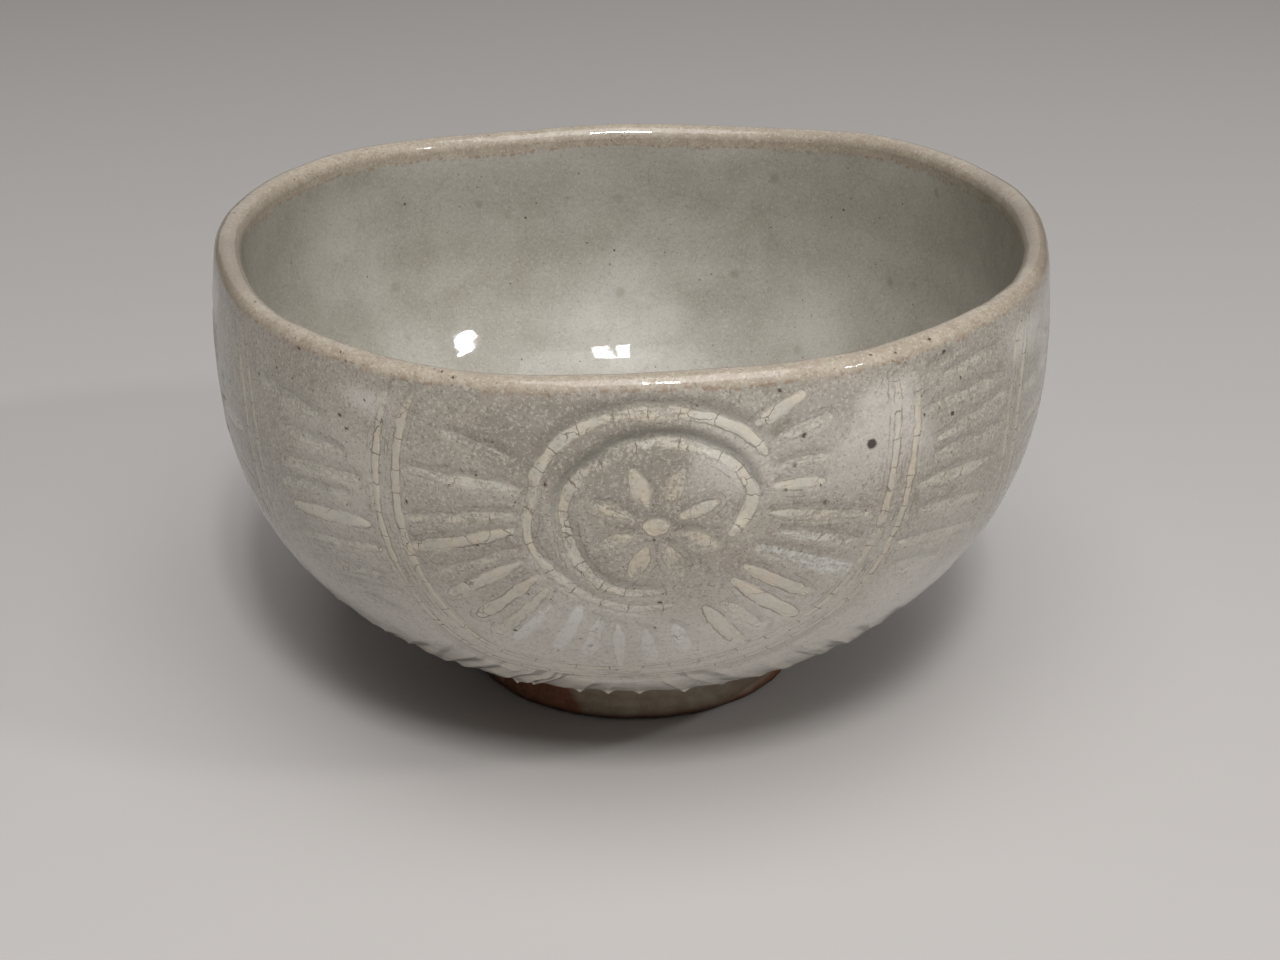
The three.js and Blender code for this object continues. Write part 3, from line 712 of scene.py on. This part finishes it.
# Darker: under the lip at the left and inside the front roundel; painted shade on the lip's sides,
# and on the pale patch against the lamps' broad sheen there
darker_and_painted_shade = smooth(1.3, 0.5, np.hypot((wall_azimuth + 7) / 11, (wall_drop - 6) / 7))
for darker in (
    smooth(1.1, 0.7, np.hypot((wall_azimuth - 2.5) / 9, (wall_drop - 12.5) / 8)),
    hump(np.abs(wall_azimuth) - 85, 30) * smooth(3, 0, wall_drop),
    smooth(0.1, 0.6, patch),
):
    darker_and_painted_shade = np.maximum(darker_and_painted_shade, darker)
specks = np.zeros(wall_drop.shape)
for azimuth, drop, radius in SPECKS:
    away = np.hypot(past(azimuth, drop), wall_drop - drop) + 0.12 * noise(wall_points, 0.5, 66)
    specks = np.maximum(specks, smooth(radius * 1.35, radius * 0.55, away))
wall_masks = {
    "edge": edge_distance,
    **nearest,
    "pool": pool,
    "blue": bluish_and_painted_floor_light,
    "lip": lip_mask,
    # tone: random unevenness, lowered by the darker patches and the painted shade
    "tone": uneven - 2 * darker_and_painted_shade,
    "speck": specks,
    "painted_fold_shading": painted_fold_shading,
}

# Meshes


def new_object(name, data):
    item = bpy.data.objects.new(name, data)
    bpy.context.scene.collection.objects.link(item)
    return item


def make_piece(name, points, quads, masks, uv=None, normals=None):
    """A smooth piece from points in mm, with masks as point attributes."""
    mesh = bpy.data.meshes.new(name)
    mesh.vertices.add(len(points))
    mesh.vertices.foreach_set("co", (points * MM).ravel().astype(np.float32))
    mesh.loops.add(quads.size)
    mesh.loops.foreach_set("vertex_index", quads.ravel().astype(np.int32))
    mesh.polygons.add(len(quads))
    mesh.polygons.foreach_set("loop_start", np.arange(0, quads.size, 4, dtype=np.int32))
    mesh.polygons.foreach_set("loop_total", np.full(len(quads), 4, dtype=np.int32))
    mesh.update(calc_edges=True)
    if uv is not None:
        layer = mesh.uv_layers.new(name="OFBake")
        layer.data.foreach_set("uv", uv[quads.ravel()].ravel().astype(np.float32))
    for key, values in masks.items():
        attribute = mesh.attributes.new(key, "FLOAT", "POINT")
        attribute.data.foreach_set("value", values.astype(np.float32))
    mesh.shade_smooth()
    if normals is not None:
        mesh.normals_split_custom_set_from_vertices(normals)
    mesh.validate()
    return new_object(name, mesh)


def grid_quads(index, closed=False):
    """Quads between neighbours on a grid of vertex numbers."""
    right = np.roll(index, -1, axis=1) if closed else index[:, 1:]
    here = index if closed else index[:, :-1]
    return np.stack([here[:-1], here[1:], right[1:], right[:-1]], axis=-1).reshape(-1, 4)


def grid_piece(name, points, normals, masks, uv, closed=True, flip=False):
    shape = points.shape[:2]
    quads = grid_quads(np.arange(shape[0] * shape[1]).reshape(shape), closed)
    if flip:
        quads = quads[:, ::-1]
    masks = {key: np.broadcast_to(values, shape).ravel() for key, values in masks.items()}
    uv, normals = uv.reshape(-1, 2), normals.reshape(-1, 3)
    return make_piece(name, points.reshape(-1, 3), quads, masks, uv, normals)


def grid_normals(points):
    """Normals of a grid whose rows are closed."""
    across = np.roll(points, -1, axis=1) - np.roll(points, 1, axis=1)
    normal = np.cross(np.gradient(points, axis=0), across)
    length = np.linalg.norm(normal, axis=-1, keepdims=True)
    return normal / np.maximum(length, 1e-9)


def unit_uv(rows, columns):
    across, down = np.linspace(0.01, 0.99, columns), np.linspace(0.99, 0.01, rows)
    return np.stack(np.meshgrid(across, down), axis=-1)


def disc_uv(azimuth, reach):
    turn = azimuth * DEGREE
    return np.stack([0.5 + reach * np.sin(turn), 0.5 - reach * np.cos(turn)], axis=-1)


# The wall outside, in four pieces with borders between the roundels
BORDERS = [-42.95, 44.9, 133.4, 225.55, 317.05]
wall_normals = grid_normals(wall_surface)
wall_pieces = []
for name, low, high in zip(("front", "right", "back", "left"), BORDERS, BORDERS[1:]):
    first, last = [int(round((edge - FIRST_AZIMUTH) / AZIMUTH_STEP)) for edge in (low, high)]
    chosen = np.arange(first, last + 1) % WALL_COLUMNS
    masks = {key: field[:, chosen] for key, field in wall_masks.items()}
    surface, normals = wall_surface[:, chosen], wall_normals[:, chosen]
    uv = unit_uv(WALL_ROWS, len(chosen))
    wall_pieces.append(grid_piece(f"wall_{name}", surface, normals, masks, uv, False))

# Inside of the bowl, from the lip's inner edge down to the middle of the floor
downs = INSIDE_LENGTH * np.linspace(0, 1, INSIDE_ROWS)
inside_azimuth, inside_down = np.meshgrid(turn_steps(INSIDE_COLUMNS), downs)
inside_base = inside_section(inside_down)
inside_flat = on_section(inside_base, inside_azimuth, 0)
inside_relief = 0.16 * noise(inside_flat, 16, 71) + 0.03 * noise(inside_flat, 5, 72)
inside_relief += 0.006 * noise(inside_flat, 1.6, 73)
throwing = np.sin((inside_down / 9.5 + inside_azimuth / 360) * 2 * math.pi)
throwing *= smooth(6, 20, inside_down) * smooth(INSIDE_LENGTH, INSIDE_LENGTH - 20, inside_down)
inside_relief += 0.05 * throwing
inside_edge = sample(relief, inside_azimuth[0], np.full(INSIDE_COLUMNS, -LIP_LENGTH))
blend_in = smooth(0, 5, inside_down)
inside_relief = inside_relief * blend_in + inside_edge[None, :] * (1 - blend_in)
inside_surface = on_section(inside_base, inside_azimuth, inside_relief)
inside_normals = -grid_normals(inside_surface)
inside_normals[-1] = (0, 0, 1)
inside_masks = dict.fromkeys(wall_masks, 0) | {
    "edge": 9,
    "pool": 0.15 * smooth(0.2, 0.8, noise(inside_flat, 12, 74)),
    "blue": 0.2 * smooth(0, 0.8, noise(inside_flat, 18, 75)),
    "lip": smooth(0.9, -0.1, inside_down - 0.9 - 0.5 * noise(inside_flat, 3, 76)),
    "tone": noise(inside_flat, 9, 77),
}
uv = disc_uv(inside_azimuth, 0.49 * (1 - inside_down / INSIDE_LENGTH))
inside = ("bowl_inside", inside_surface, inside_normals, inside_masks, uv)
inside_piece = grid_piece(*inside, flip=True)


# Foot ring: outer face, bottom, inner face; then the recess under the bowl
def foot_profile():
    """Distances along the foot's section, and their radii and heights."""
    inside = FOOT_RADIUS - FOOT_WALL
    corners = np.array([
        (FOOT_NECK_RADIUS - 0.1, FOOT_HEIGHT + 0.35),
        (FOOT_NECK_RADIUS - 0.05, FOOT_HEIGHT - 0.6),
        (FOOT_RADIUS - 0.15, 4),
        (FOOT_RADIUS, 1.1),
        (FOOT_RADIUS - 0.25, 0.35),
        (FOOT_RADIUS - 0.9, 0),
        (inside + 0.9, 0),
        (inside + 0.2, 0.4),
        (inside, 1.1),
        (inside - 0.1, 5),
        (inside - 0.4, FOOT_HEIGHT - 0.9),
        (inside - 1.6, FOOT_HEIGHT - 0.1),
    ])
    lengths = way_along(corners)
    at = np.linspace(0, lengths[-1], FOOT_ROWS)
    return at, *[np.interp(at, lengths, column) for column in corners.T]


def foot_points(azimuth, radius, z):
    x = radius * np.sin(azimuth * DEGREE) + SHIFT_X + FOOT_SHIFT
    y = -radius * np.cos(azimuth * DEGREE) + SHIFT_Y
    return np.stack(np.broadcast_arrays(x, y, z), axis=-1)


foot_at, foot_radii, foot_heights = foot_profile()
foot_azimuth, foot_r = np.meshgrid(turn_steps(FOOT_COLUMNS), foot_radii)
foot_z = np.broadcast_to(foot_heights[:, None], foot_r.shape)
foot_along = np.broadcast_to(foot_at[:, None], foot_r.shape)
foot_flat = foot_points(foot_azimuth, foot_r, foot_z)
tangent = np.gradient(np.stack([foot_radii, foot_heights], axis=-1), foot_at, axis=0)
tangent /= np.linalg.norm(tangent, axis=-1, keepdims=True)
rough = 0.09 * noise(foot_flat, 4, 81) + 0.06 * noise(foot_flat, 1.3, 82)
rough += 0.03 * noise(foot_flat, 0.5, 83)
rough += 0.05 * np.sin(foot_z * 3.1 + 0.6 * noise(foot_flat, 8, 84)) * smooth(7.5, 6.5, foot_z)
rough *= smooth(0, 0.5, foot_z) * smooth(0, 1, foot_along)
rough_r = foot_r - tangent[:, 1][:, None] * rough
rough_z = np.clip(foot_z + tangent[:, 0][:, None] * rough, 0, None)
foot_surface = foot_points(foot_azimuth, rough_r, rough_z)
outward = smooth(0.2, 0.9, foot_along) * (foot_along < 12)
wandering = foot_azimuth + 3 * noise(foot_flat, 2.5, 85)
bare_below = np.interp(wandering, *zip(*BARE_CLAY_LINE)) + 0.8 * noise(foot_flat, 3, 87)
foot_masks = {
    "glazed": outward * smooth(-2, 2, foot_z - bare_below),
    "tone": noise(foot_flat, 6, 88),
    "edge": np.clip(foot_z, 0, 9),
}
uv = unit_uv(FOOT_ROWS, FOOT_COLUMNS)
foot_piece = grid_piece("foot", foot_surface, grid_normals(foot_surface), foot_masks, uv)

recess_reach = foot_radii[-1] * (1 - np.linspace(0, 1, RECESS_ROWS)) + 1e-3
recess_azimuth, recess_r = np.meshgrid(turn_steps(FOOT_COLUMNS), recess_reach)
spiral = np.sin((recess_r / 2.6 + recess_azimuth / 360) * 2 * math.pi) * smooth(0, 4, recess_r)
recess_z = foot_heights[-1] - 0.1 + 0.1 * smooth(18, 12, recess_r)
recess_z = recess_z - 0.1 * spiral * smooth(18, 16, recess_r) - 0.8 * hump(recess_r, 2.2)
recess_flat = foot_points(recess_azimuth, recess_r, recess_z)
grains = 0.06 * noise(recess_flat, 2, 91) + 0.05 * noise(recess_flat, 0.8, 92)
recess_z = recess_z + grains * smooth(18.3, 17.5, recess_r)
recess_surface = foot_points(recess_azimuth, recess_r, recess_z)
recess_surface[0] = foot_surface[-1]
recess_normals = grid_normals(recess_surface)
recess_normals[-1] = (0, 0, -1)
recess_masks = {
    "glazed": smooth(-0.1, 0.3, noise(recess_flat, 10, 93) - 0.1),
    "tone": noise(recess_flat, 6, 94),
    "edge": 5,
}
uv = disc_uv(recess_azimuth, 0.026 * recess_r)
recess_piece = grid_piece("foot_recess", recess_surface, recess_normals, recess_masks, uv)


# Slip inlays: low crowned strips whose edges sink into the wall
def strip_grid(stroke):
    """Azimuths, drops, points and offsets from the middle of a stroke's strip."""
    azimuth, drop = stroke["azimuth"], stroke["drop"]
    local = radius_at(drop) * DEGREE
    du, dv = np.gradient(azimuth) * local, np.gradient(drop)
    length = np.hypot(du, dv)
    sides = np.linspace(-1, 1, STRIP_SIDES)
    count = len(azimuth)
    line = [np.arange(count) * STRIP_STEP, np.zeros(count), np.full(count, stroke["seed"] * 3.7)]
    line = np.stack(line, axis=-1)
    shift = 0.14 * noise(line, 2.4, 101) + 0.08 * noise(line, 0.9, 102)
    offset = stroke["half"][:, None] * sides[None, :] + shift[:, None]
    grid_azimuth = azimuth[:, None] + offset * (-dv / length / local)[:, None]
    grid_drop = drop[:, None] + offset * (du / length)[:, None]
    crown = 0.07 * (1 - sides**2) - 0.09 * np.abs(sides) ** 8
    out = sample(relief, grid_azimuth, grid_drop) + crown[None, :]
    out[[0, -1]] -= 0.12
    points = on_section(wall_section(grid_drop), grid_azimuth, out)
    return grid_azimuth, grid_drop, points, offset


def join_strips(name, strokes):
    """One piece from the strips of several strokes."""
    points, quads, masks = [], [], {key: [] for key in wall_masks}
    start = 0
    for stroke in strokes:
        azimuth, drop, surface, offset = strip_grid(stroke)
        index = start + np.arange(drop.size).reshape(drop.shape)
        start += drop.size
        quads.append(grid_quads(index)[:, [0, 3, 2, 1]])
        points.append(surface.reshape(-1, 3))
        own = {
            "edge": np.abs(offset) - stroke["half"][:, None],
            "cover": stroke["cover"][:, None],
            "slip_blue": stroke["blue"],
            "along": (stroke["along"] + 20 * stroke["seed"])[:, None],
            "across": offset,
            "crossing": stroke["crossing"],
        }
        for key, field in wall_masks.items():
            values = own[key] if key in own else sample(field, azimuth, drop)
            masks[key].append(np.broadcast_to(values, drop.shape).ravel())
    masks = {key: np.concatenate(values) for key, values in masks.items()}
    return make_piece(name, np.concatenate(points), np.concatenate(quads), masks)


inlay_pieces = {}
for stroke in STROKES:
    inlay_pieces.setdefault(stroke["piece"], []).append(stroke)


# Materials


class Nodes:
    """Short ways to add and link shader nodes."""

    def __init__(self, name):
        self.material = bpy.data.materials.new(name)
        self.material.use_nodes = True
        self.tree = self.material.node_tree
        self.shader = self.tree.nodes["Principled BSDF"]

    def add(self, kind, inputs=(), output=0, **settings):
        """Adds a node, sets or links its inputs, and returns one of its outputs."""
        node = self.tree.nodes.new(kind)
        for key, value in settings.items():
            setattr(node, key, value)
        for key, value in dict(inputs).items():
            self.put(node.inputs[key], value)
        return node.outputs[output]

    def put(self, socket, value):
        if isinstance(value, bpy.types.NodeSocket):
            self.tree.links.new(value, socket)
        else:
            socket.default_value = value

    def finish(self, **inputs):
        for key, value in inputs.items():
            self.put(self.shader.inputs[key.replace("_", " ")], value)

    def attribute(self, name):
        return self.add("ShaderNodeAttribute", output="Fac", attribute_name=name)

    def math(self, operation, a, b=0.0):
        return self.add("ShaderNodeMath", {0: a, 1: b}, operation=operation)

    def times(self, value, *others):
        for other in others:
            value = self.math("MULTIPLY", value, other)
        return value

    def plus(self, a, b):
        return self.math("ADD", a, b)

    def most(self, a, b):
        return self.math("MAXIMUM", a, b)

    def ramp(self, value, low, high, to_low=0.0, to_high=1.0):
        inputs = {"Value": value, "From Min": low, "From Max": high}
        inputs |= {"To Min": to_low, "To Max": to_high}
        return self.add("ShaderNodeMapRange", inputs, interpolation_type="SMOOTHSTEP")

    def mix(self, share, a, b):
        return self.add("ShaderNodeMix", {0: share, 6: a, 7: b}, 2, data_type="RGBA")

    def tint(self, colour, levels, mask, low, high, most=1.0):
        """The colour, with another over it where the mask goes from low to high."""
        return self.mix(self.ramp(mask, low, high, 0.0, most), colour, srgb(*levels))

    def position(self, scale=1000.0):
        """Object coordinates in mm, or at another scale to metres."""
        place = self.add("ShaderNodeTexCoord", output="Object")
        return self.add("ShaderNodeVectorMath", {0: place, "Scale": scale}, operation="SCALE")

    def noise(self, position, size, detail=2.0, roughness=0.5, output="Fac"):
        inputs = {"Vector": position, "Scale": 1 / size, "Detail": detail, "Roughness": roughness}
        return self.add("ShaderNodeTexNoise", inputs, output)

    def cells(self, position, size):
        """The distance to the middle of the nearest cell, and the cell's own number."""
        inputs = {"Vector": position, "Scale": 1 / size}
        distance = self.add("ShaderNodeTexVoronoi", inputs, "Distance")
        colour = distance.node.outputs["Color"]
        return distance, self.add("ShaderNodeSeparateColor", {0: colour})

    def borders(self, position, size, socket="Vector", dimensions="3D"):
        """The distance to the nearest border of a cell."""
        settings = {"feature": "DISTANCE_TO_EDGE", "voronoi_dimensions": dimensions}
        inputs = {socket: position, "Scale": 1 / size}
        return self.add("ShaderNodeTexVoronoi", inputs, "Distance", **settings)

    def warped(self, position, size, amount):
        wave = {0: self.noise(position, size, output="Color"), 1: (0.5, 0.5, 0.5)}
        shift = {0: self.add("ShaderNodeVectorMath", wave, operation="SUBTRACT"), "Scale": amount}
        total = {0: position, 1: self.add("ShaderNodeVectorMath", shift, operation="SCALE")}
        return self.add("ShaderNodeVectorMath", total, operation="ADD")

    def bump(self, height, strength):
        """Small bumps from a height in mm."""
        inputs = {"Strength": strength, "Distance": MM, "Height": height}
        self.finish(Normal=self.add("ShaderNodeBump", inputs))


def glaze_material(name, dark, light, speckle, coat):
    n = Nodes(name)
    place = n.position()
    edge, cover, slip_blue, along, across, crossing, pool, blue, lip, tone, speck, painted_fold_shading = [
        n.attribute(key) for key in wall_masks
    ]

    # Body colour under the glaze
    mottle, fine = n.noise(place, 1.2, 3, 0.6), n.noise(place, 0.5, 2, 0.65)
    grit = n.noise(place, 0.42, 2, 0.6)
    body = n.mix(n.ramp(n.noise(place, 7, 3), 0.3, 0.7), srgb(*dark), srgb(*light))
    body = n.tint(body, (160, 156, 146), tone, -0.8, 0.8, 0.55)
    # Darker where the tone is low: patches under the lip and in the roundel, and painted shade on
    # the lip's sides and the pale patch
    body = n.tint(body, (136, 128, 116), tone, -0.7, -2.0, 0.8)
    # Pale blue-grey glaze; on the lower wall this is also painted light from the floor's bounce and
    # reflection
    body = n.mix(n.times(blue, 0.85), body, srgb(194, 190, 183))
    body = n.tint(body, (138, 130, 119), mottle, 0.5, 0.7, 0.6 * speckle)
    body = n.tint(body, (190, 182, 170), fine, 0.5, 0.66, 0.7 * speckle)
    body = n.tint(body, (108, 99, 88), grit, 0.55, 0.7, 0.7 * speckle)
    distance, number = n.cells(n.warped(place, 3, 2), 6.5)
    blot = n.times(n.ramp(distance, 0.05, 0.2, 1.0, 0.0), n.ramp(number, 0.3, 0.9), 0.55)
    body = n.mix(blot, body, srgb(122, 118, 100))
    body = n.mix(n.times(pool, 0.6), body, srgb(121, 120, 110))

    # Slip: cream where it is thick, bluish under thick glaze, smeared thin where little is left
    cream = n.tint(srgb(193, 181, 160), (184, 178, 165), n.noise(place, 2.6, 3), 0.3, 0.7)
    cream = n.mix(n.times(slip_blue, 0.85), cream, srgb(203, 204, 201))
    cream = n.tint(cream, (166, 156, 140), mottle, 0.5, 0.75, 0.4)
    soft = n.ramp(cover, 0.4, 0.9, 0.7, 0.1)
    ragged = n.math("SUBTRACT", n.noise(place, 1.0, 3, 0.6), 0.5)
    ragged = n.times(ragged, n.ramp(cover, 0.4, 0.9, 1.8, 0.6))
    inside = n.math("SUBTRACT", 0.0, n.plus(edge, ragged))
    shape = n.ramp(inside, n.times(soft, -1.0), soft)
    streaks = n.add("ShaderNodeCombineXYZ", {0: n.times(along, 0.28), 1: across})
    streak = n.math("SUBTRACT", n.noise(streaks, 1.5, 4, 0.65), 0.5)
    dots = n.times(n.math("SUBTRACT", fine, 0.5), n.ramp(cover, 0.5, 1.0, 2.0, 0.4))
    full = n.ramp(n.plus(n.plus(cover, n.times(streak, 2.0)), dots), 0.12, 0.85)
    share = n.times(shape, full, n.ramp(cover, 0.05, 0.8, 0.5, 1.0))
    colour = n.mix(share, body, cream)
    # Lighter still where the glaze is bluish: partly paler glaze, partly painted light from the
    # floor on the lower wall
    colour = n.mix(n.times(blue, 0.42), colour, srgb(240, 235, 227))
    # Painted light and shade on the lower wall's folds: lighter above each crest, darker under it
    colour = n.tint(colour, (108, 103, 92), painted_fold_shading, -0.1, -0.9, 0.65)
    colour = n.tint(colour, (214, 206, 192), painted_fold_shading, 0.15, 0.9, 0.6)

    # Crackle, dark over the slip and faint elsewhere; short cracks run across the long lines
    crack = n.ramp(n.borders(n.warped(place, 1.4, 1.8), 4.6), 0.005, 0.02, 1.0, 0.0)
    gate = n.ramp(n.noise(place, 5, 2), 0.48, 0.6)
    crack = n.times(crack, gate, n.ramp(share, 0.2, 0.8, 0.2, 0.85))
    small = n.ramp(n.borders(n.warped(place, 0.9, 0.6), 1.25), 0.01, 0.05, 1.0, 0.0)
    bent = n.plus(along, n.times(n.noise(place, 0.8, 2), 0.9))
    cross = n.ramp(n.borders(bent, 4.6, "W", "1D"), 0.008, 0.026, 1.0, 0.0)
    crack = n.most(n.most(crack, n.times(small, 0.12)), n.times(cross, crossing, shape, 0.7))
    colour = n.mix(crack, colour, srgb(92, 82, 69))

    # Dark hairline where slip meets body, and a second one beside it
    hair = n.ramp(n.math("ABSOLUTE", n.math("SUBTRACT", inside, 0.06)), 0.03, 0.2, 1.0, 0.0)
    hair = n.times(hair, n.ramp(n.noise(place, 3.3, 2), 0.36, 0.56))
    hair = n.times(hair, n.ramp(cover, 0.35, 0.9, 0.25, 0.65))
    second = n.ramp(n.math("ABSOLUTE", n.plus(inside, 0.75)), 0.02, 0.15, 1.0, 0.0)
    second = n.times(second, n.ramp(n.noise(place, 4.1, 2), 0.5, 0.6, 0.0, 0.5))
    hair = n.most(hair, n.times(second, n.ramp(cover, 0.2, 0.5)))
    hair = n.times(hair, n.ramp(slip_blue, 0.0, 1.0, 1.0, 0.25))
    colour = n.mix(hair, colour, srgb(108, 100, 86))

    # Lip: the glaze runs thin and warm
    warm = n.tint(srgb(159, 146, 129), (172, 160, 143), n.noise(place, 3, 3), 0.35, 0.7)
    warm = n.tint(warm, (190, 178, 162), fine, 0.5, 0.68, 0.7)
    warm = n.tint(warm, (112, 96, 80), grit, 0.57, 0.7, 0.6)
    warm = n.tint(warm, (154, 136, 117), mottle, 0.5, 0.68, 0.6)
    # The low tone also puts painted shade on the lip's sides
    warm = n.tint(warm, (134, 122, 106), tone, -0.7, -2.0, 0.7)
    colour = n.mix(n.ramp(lip, 0.1, 0.9, 0.0, 0.9), colour, warm)
    fringe = n.times(n.ramp(lip, 0.0, 0.3), n.ramp(lip, 0.95, 0.5), 0.6)
    fringe = n.times(fringe, n.ramp(n.noise(place, 0.8, 2, 0.6), 0.48, 0.62))
    colour = n.mix(fringe, colour, srgb(136, 108, 80))

    # Iron specks of several sizes, and the larger ones at their own places
    for size, radius, strength, levels in (
        (1.5, 0.11, 0.7, (86, 75, 63)),
        (2.6, 0.16, 0.8, (70, 58, 48)),
        (5.5, 0.24, 0.85, (56, 45, 37)),
    ):
        distance, number = n.cells(place, size)
        spot = n.ramp(distance, radius / size * 0.6, radius / size * 1.3, 1.0, 0.0)
        spot = n.times(spot, n.ramp(number, 0.42, 0.52), strength)
        colour = n.mix(spot, colour, srgb(*levels))
    colour = n.tint(colour, (96, 74, 56), speck, 0.1, 0.35, 0.35)
    colour = n.tint(colour, (44, 35, 29), speck, 0.35, 0.8, 0.95)

    rough = n.ramp(n.noise(place, 2.2, 3), 0.3, 0.7, 0.48, 0.62)
    n.finish(Base_Color=colour, Roughness=rough, IOR=1.5)
    n.finish(Coat_Weight=coat, Coat_Roughness=0.04, Coat_IOR=1.5)
    # Pitted glaze, sunk cracks, slip that stands a little proud
    height = n.times(n.noise(place, 0.9, 3, 0.6), 0.07)
    height = n.plus(height, n.times(n.noise(place, 0.35, 1), 0.02))
    height = n.plus(height, n.times(share, 0.05))
    n.bump(n.math("SUBTRACT", height, n.times(crack, 0.03)), 0.15 + 0.85 * speckle)
    return n.material


def clay_material(name):
    n = Nodes(name)
    place = n.position()
    glazed, tone, rise = [n.attribute(key) for key in ("glazed", "tone", "edge")]
    rust = n.tint(srgb(108, 64, 42), (132, 87, 61), n.noise(place, 4, 4, 0.6), 0.3, 0.7)
    rust = n.tint(rust, (138, 104, 80), n.noise(place, 0.6, 3, 0.7), 0.45, 0.75, 0.6)
    rust = n.tint(rust, (70, 42, 29), n.noise(place, 1.2, 3), 0.55, 0.7, 0.5)
    thin = n.tint(srgb(150, 138, 120), (168, 155, 136), n.noise(place, 2.2, 4, 0.6), 0.35, 0.65)
    thin = n.tint(thin, (136, 116, 94), tone, -0.6, 0.6, 0.4)
    colour = n.mix(n.ramp(glazed, 0.1, 0.9), rust, thin)
    colour = n.mix(n.ramp(rise, 0.3, 1.7, 0.85, 0.0), colour, srgb(62, 34, 23))
    n.finish(Base_Color=colour, Roughness=n.ramp(glazed, 0.1, 0.9, 0.85, 0.4))
    grain = n.times(n.noise(place, 0.35, 3, 0.7), 0.06)
    n.bump(n.plus(grain, n.times(n.noise(place, 1.4, 3, 0.6), 0.12)), 1.0)
    return n.material


GLAZE = ((156, 147, 134), (168, 160, 148), 1.0, 0.75)
glaze = glaze_material("stoneware_glaze", *GLAZE)
slip_glaze = glaze_material("slip_under_glaze", *GLAZE)
inside_glaze = glaze_material("inside_glaze", (149, 144, 132), (161, 157, 146), 0.4, 0.3)
clay = clay_material("foot_clay")


def finish_piece(piece, material, slot, *nodes):
    piece.data.materials.append(material)
    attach(piece, "root")
    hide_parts(*nodes)


for piece in wall_pieces:
    finish_piece(piece, glaze, "glazed_stoneware", "bowl_body")
finish_piece(inside_piece, inside_glaze, "glazed_stoneware", "bowl_body")
finish_piece(foot_piece, clay, "bare_clay", "foot_ring")
finish_piece(recess_piece, clay, "bare_clay", "bowl_body")
for name, strokes in inlay_pieces.items():
    piece = join_strips(name, strokes)
    nodes = [stroke["node"] for stroke in strokes if stroke["node"]] or ["bowl_body"]
    finish_piece(piece, slip_glaze, "white_slip", *nodes)

# Floor, in metres
FLOOR_SIZE = 6.0
PALE = 0.5
floor_mesh = bpy.data.meshes.new("floor")
corners = [(x * FLOOR_SIZE, y * FLOOR_SIZE, 0) for x, y in ((-1, -1), (1, -1), (1, 1), (-1, 1))]
floor_mesh.from_pydata(corners, [], [(0, 1, 2, 3)])
floor = new_object("floor", floor_mesh)
n = Nodes("floor_paper")
paper = n.tint(srgb(179, 175, 172), (185, 181, 178), n.noise(n.position(), 900, 1), 0.3, 0.7)
n.finish(Base_Color=paper, Roughness=0.9)
# Far away it is evenly pale to the camera, so that no lamp's border shows
away = n.add("ShaderNodeVectorMath", {0: n.position(1.0)}, "Value", operation="LENGTH")
seen = n.add("ShaderNodeLightPath", output="Is Camera Ray")
glow = n.add("ShaderNodeEmission", {"Color": (1, 1, 1, 1), "Strength": PALE})
far_share = n.times(n.ramp(away, 0.7, 1.7), seen)
surface = n.add("ShaderNodeMixShader", {0: far_share, 1: n.shader.outputs[0], 2: glow})
n.put(n.tree.nodes["Material Output"].inputs["Surface"], surface)
floor_mesh.materials.append(n.material)

# Camera at the photograph's viewing angle
CAMERA_PLACE = (2.14 * MM, -305.6 * MM, 164.0 * MM)
CAMERA_PITCH = 23.864
FOCAL_PIXELS = 2102
IMAGE_WIDTH = 1280
camera_data = bpy.data.cameras.new("camera")
camera_data.sensor_fit = "HORIZONTAL"
camera_data.sensor_width = 36
camera_data.lens = camera_data.sensor_width * FOCAL_PIXELS / IMAGE_WIDTH
camera_data.clip_start = 0.01
camera_data.clip_end = 30
camera = new_object("camera", camera_data)
camera.location = CAMERA_PLACE
camera.rotation_euler = ((90 - CAMERA_PITCH) * DEGREE, 0, 0)
bpy.context.scene.camera = camera

# Lamps: place, size and watts. They all point at the middle of the bowl
TARGET = Vector((0, 0, 0.04))
LAMPS = {
    "over": ((0.05, -0.33, 1.08), (0.95, 0.95), 9.0),
    "front_left": ((0.045, -0.75, 1.0), (0.07, 0.26), 3.5),
    "front_right": ((0.135, -0.75, 1.0), (0.07, 0.26), 3.5),
    "side": ((0.86, -0.44, 0.73), (0.15, 0.02), 2.2),
    "low": ((0.35, -1.27, 0.35), (2.2, 0.8), 1.4),
    "wide": ((-0.2, -0.2, 1.5), (2.4, 2.4), 0.7),
    "behind": ((-0.2, 1.5, 0.8), (1.8, 1.2), 2.6),
}
for name, (place, size, watts) in LAMPS.items():
    data = bpy.data.lights.new(name, "AREA")
    data.shape = "RECTANGLE"
    data.size, data.size_y = size
    data.energy = watts
    lamp = new_object(name, data)
    lamp.location = place
    lamp.rotation_euler = (TARGET - Vector(place)).to_track_quat("-Z", "Y").to_euler()

# The room is dark to the bowl and pale to the camera
world = bpy.data.worlds.new("world")
bpy.context.scene.world = world
world.use_nodes = True
nodes, links = world.node_tree.nodes, world.node_tree.links
strength = nodes.new("ShaderNodeMapRange")
strength.inputs["To Min"].default_value = 0.02
strength.inputs["To Max"].default_value = PALE
path = nodes.new("ShaderNodeLightPath")
links.new(path.outputs["Is Camera Ray"], strength.inputs["Value"])
nodes["Background"].inputs["Color"].default_value = (1, 1, 1, 1)
links.new(strength.outputs[0], nodes["Background"].inputs["Strength"])
bpy.context.scene.view_settings.view_transform = "Standard"

bpy.context.view_layer.update()
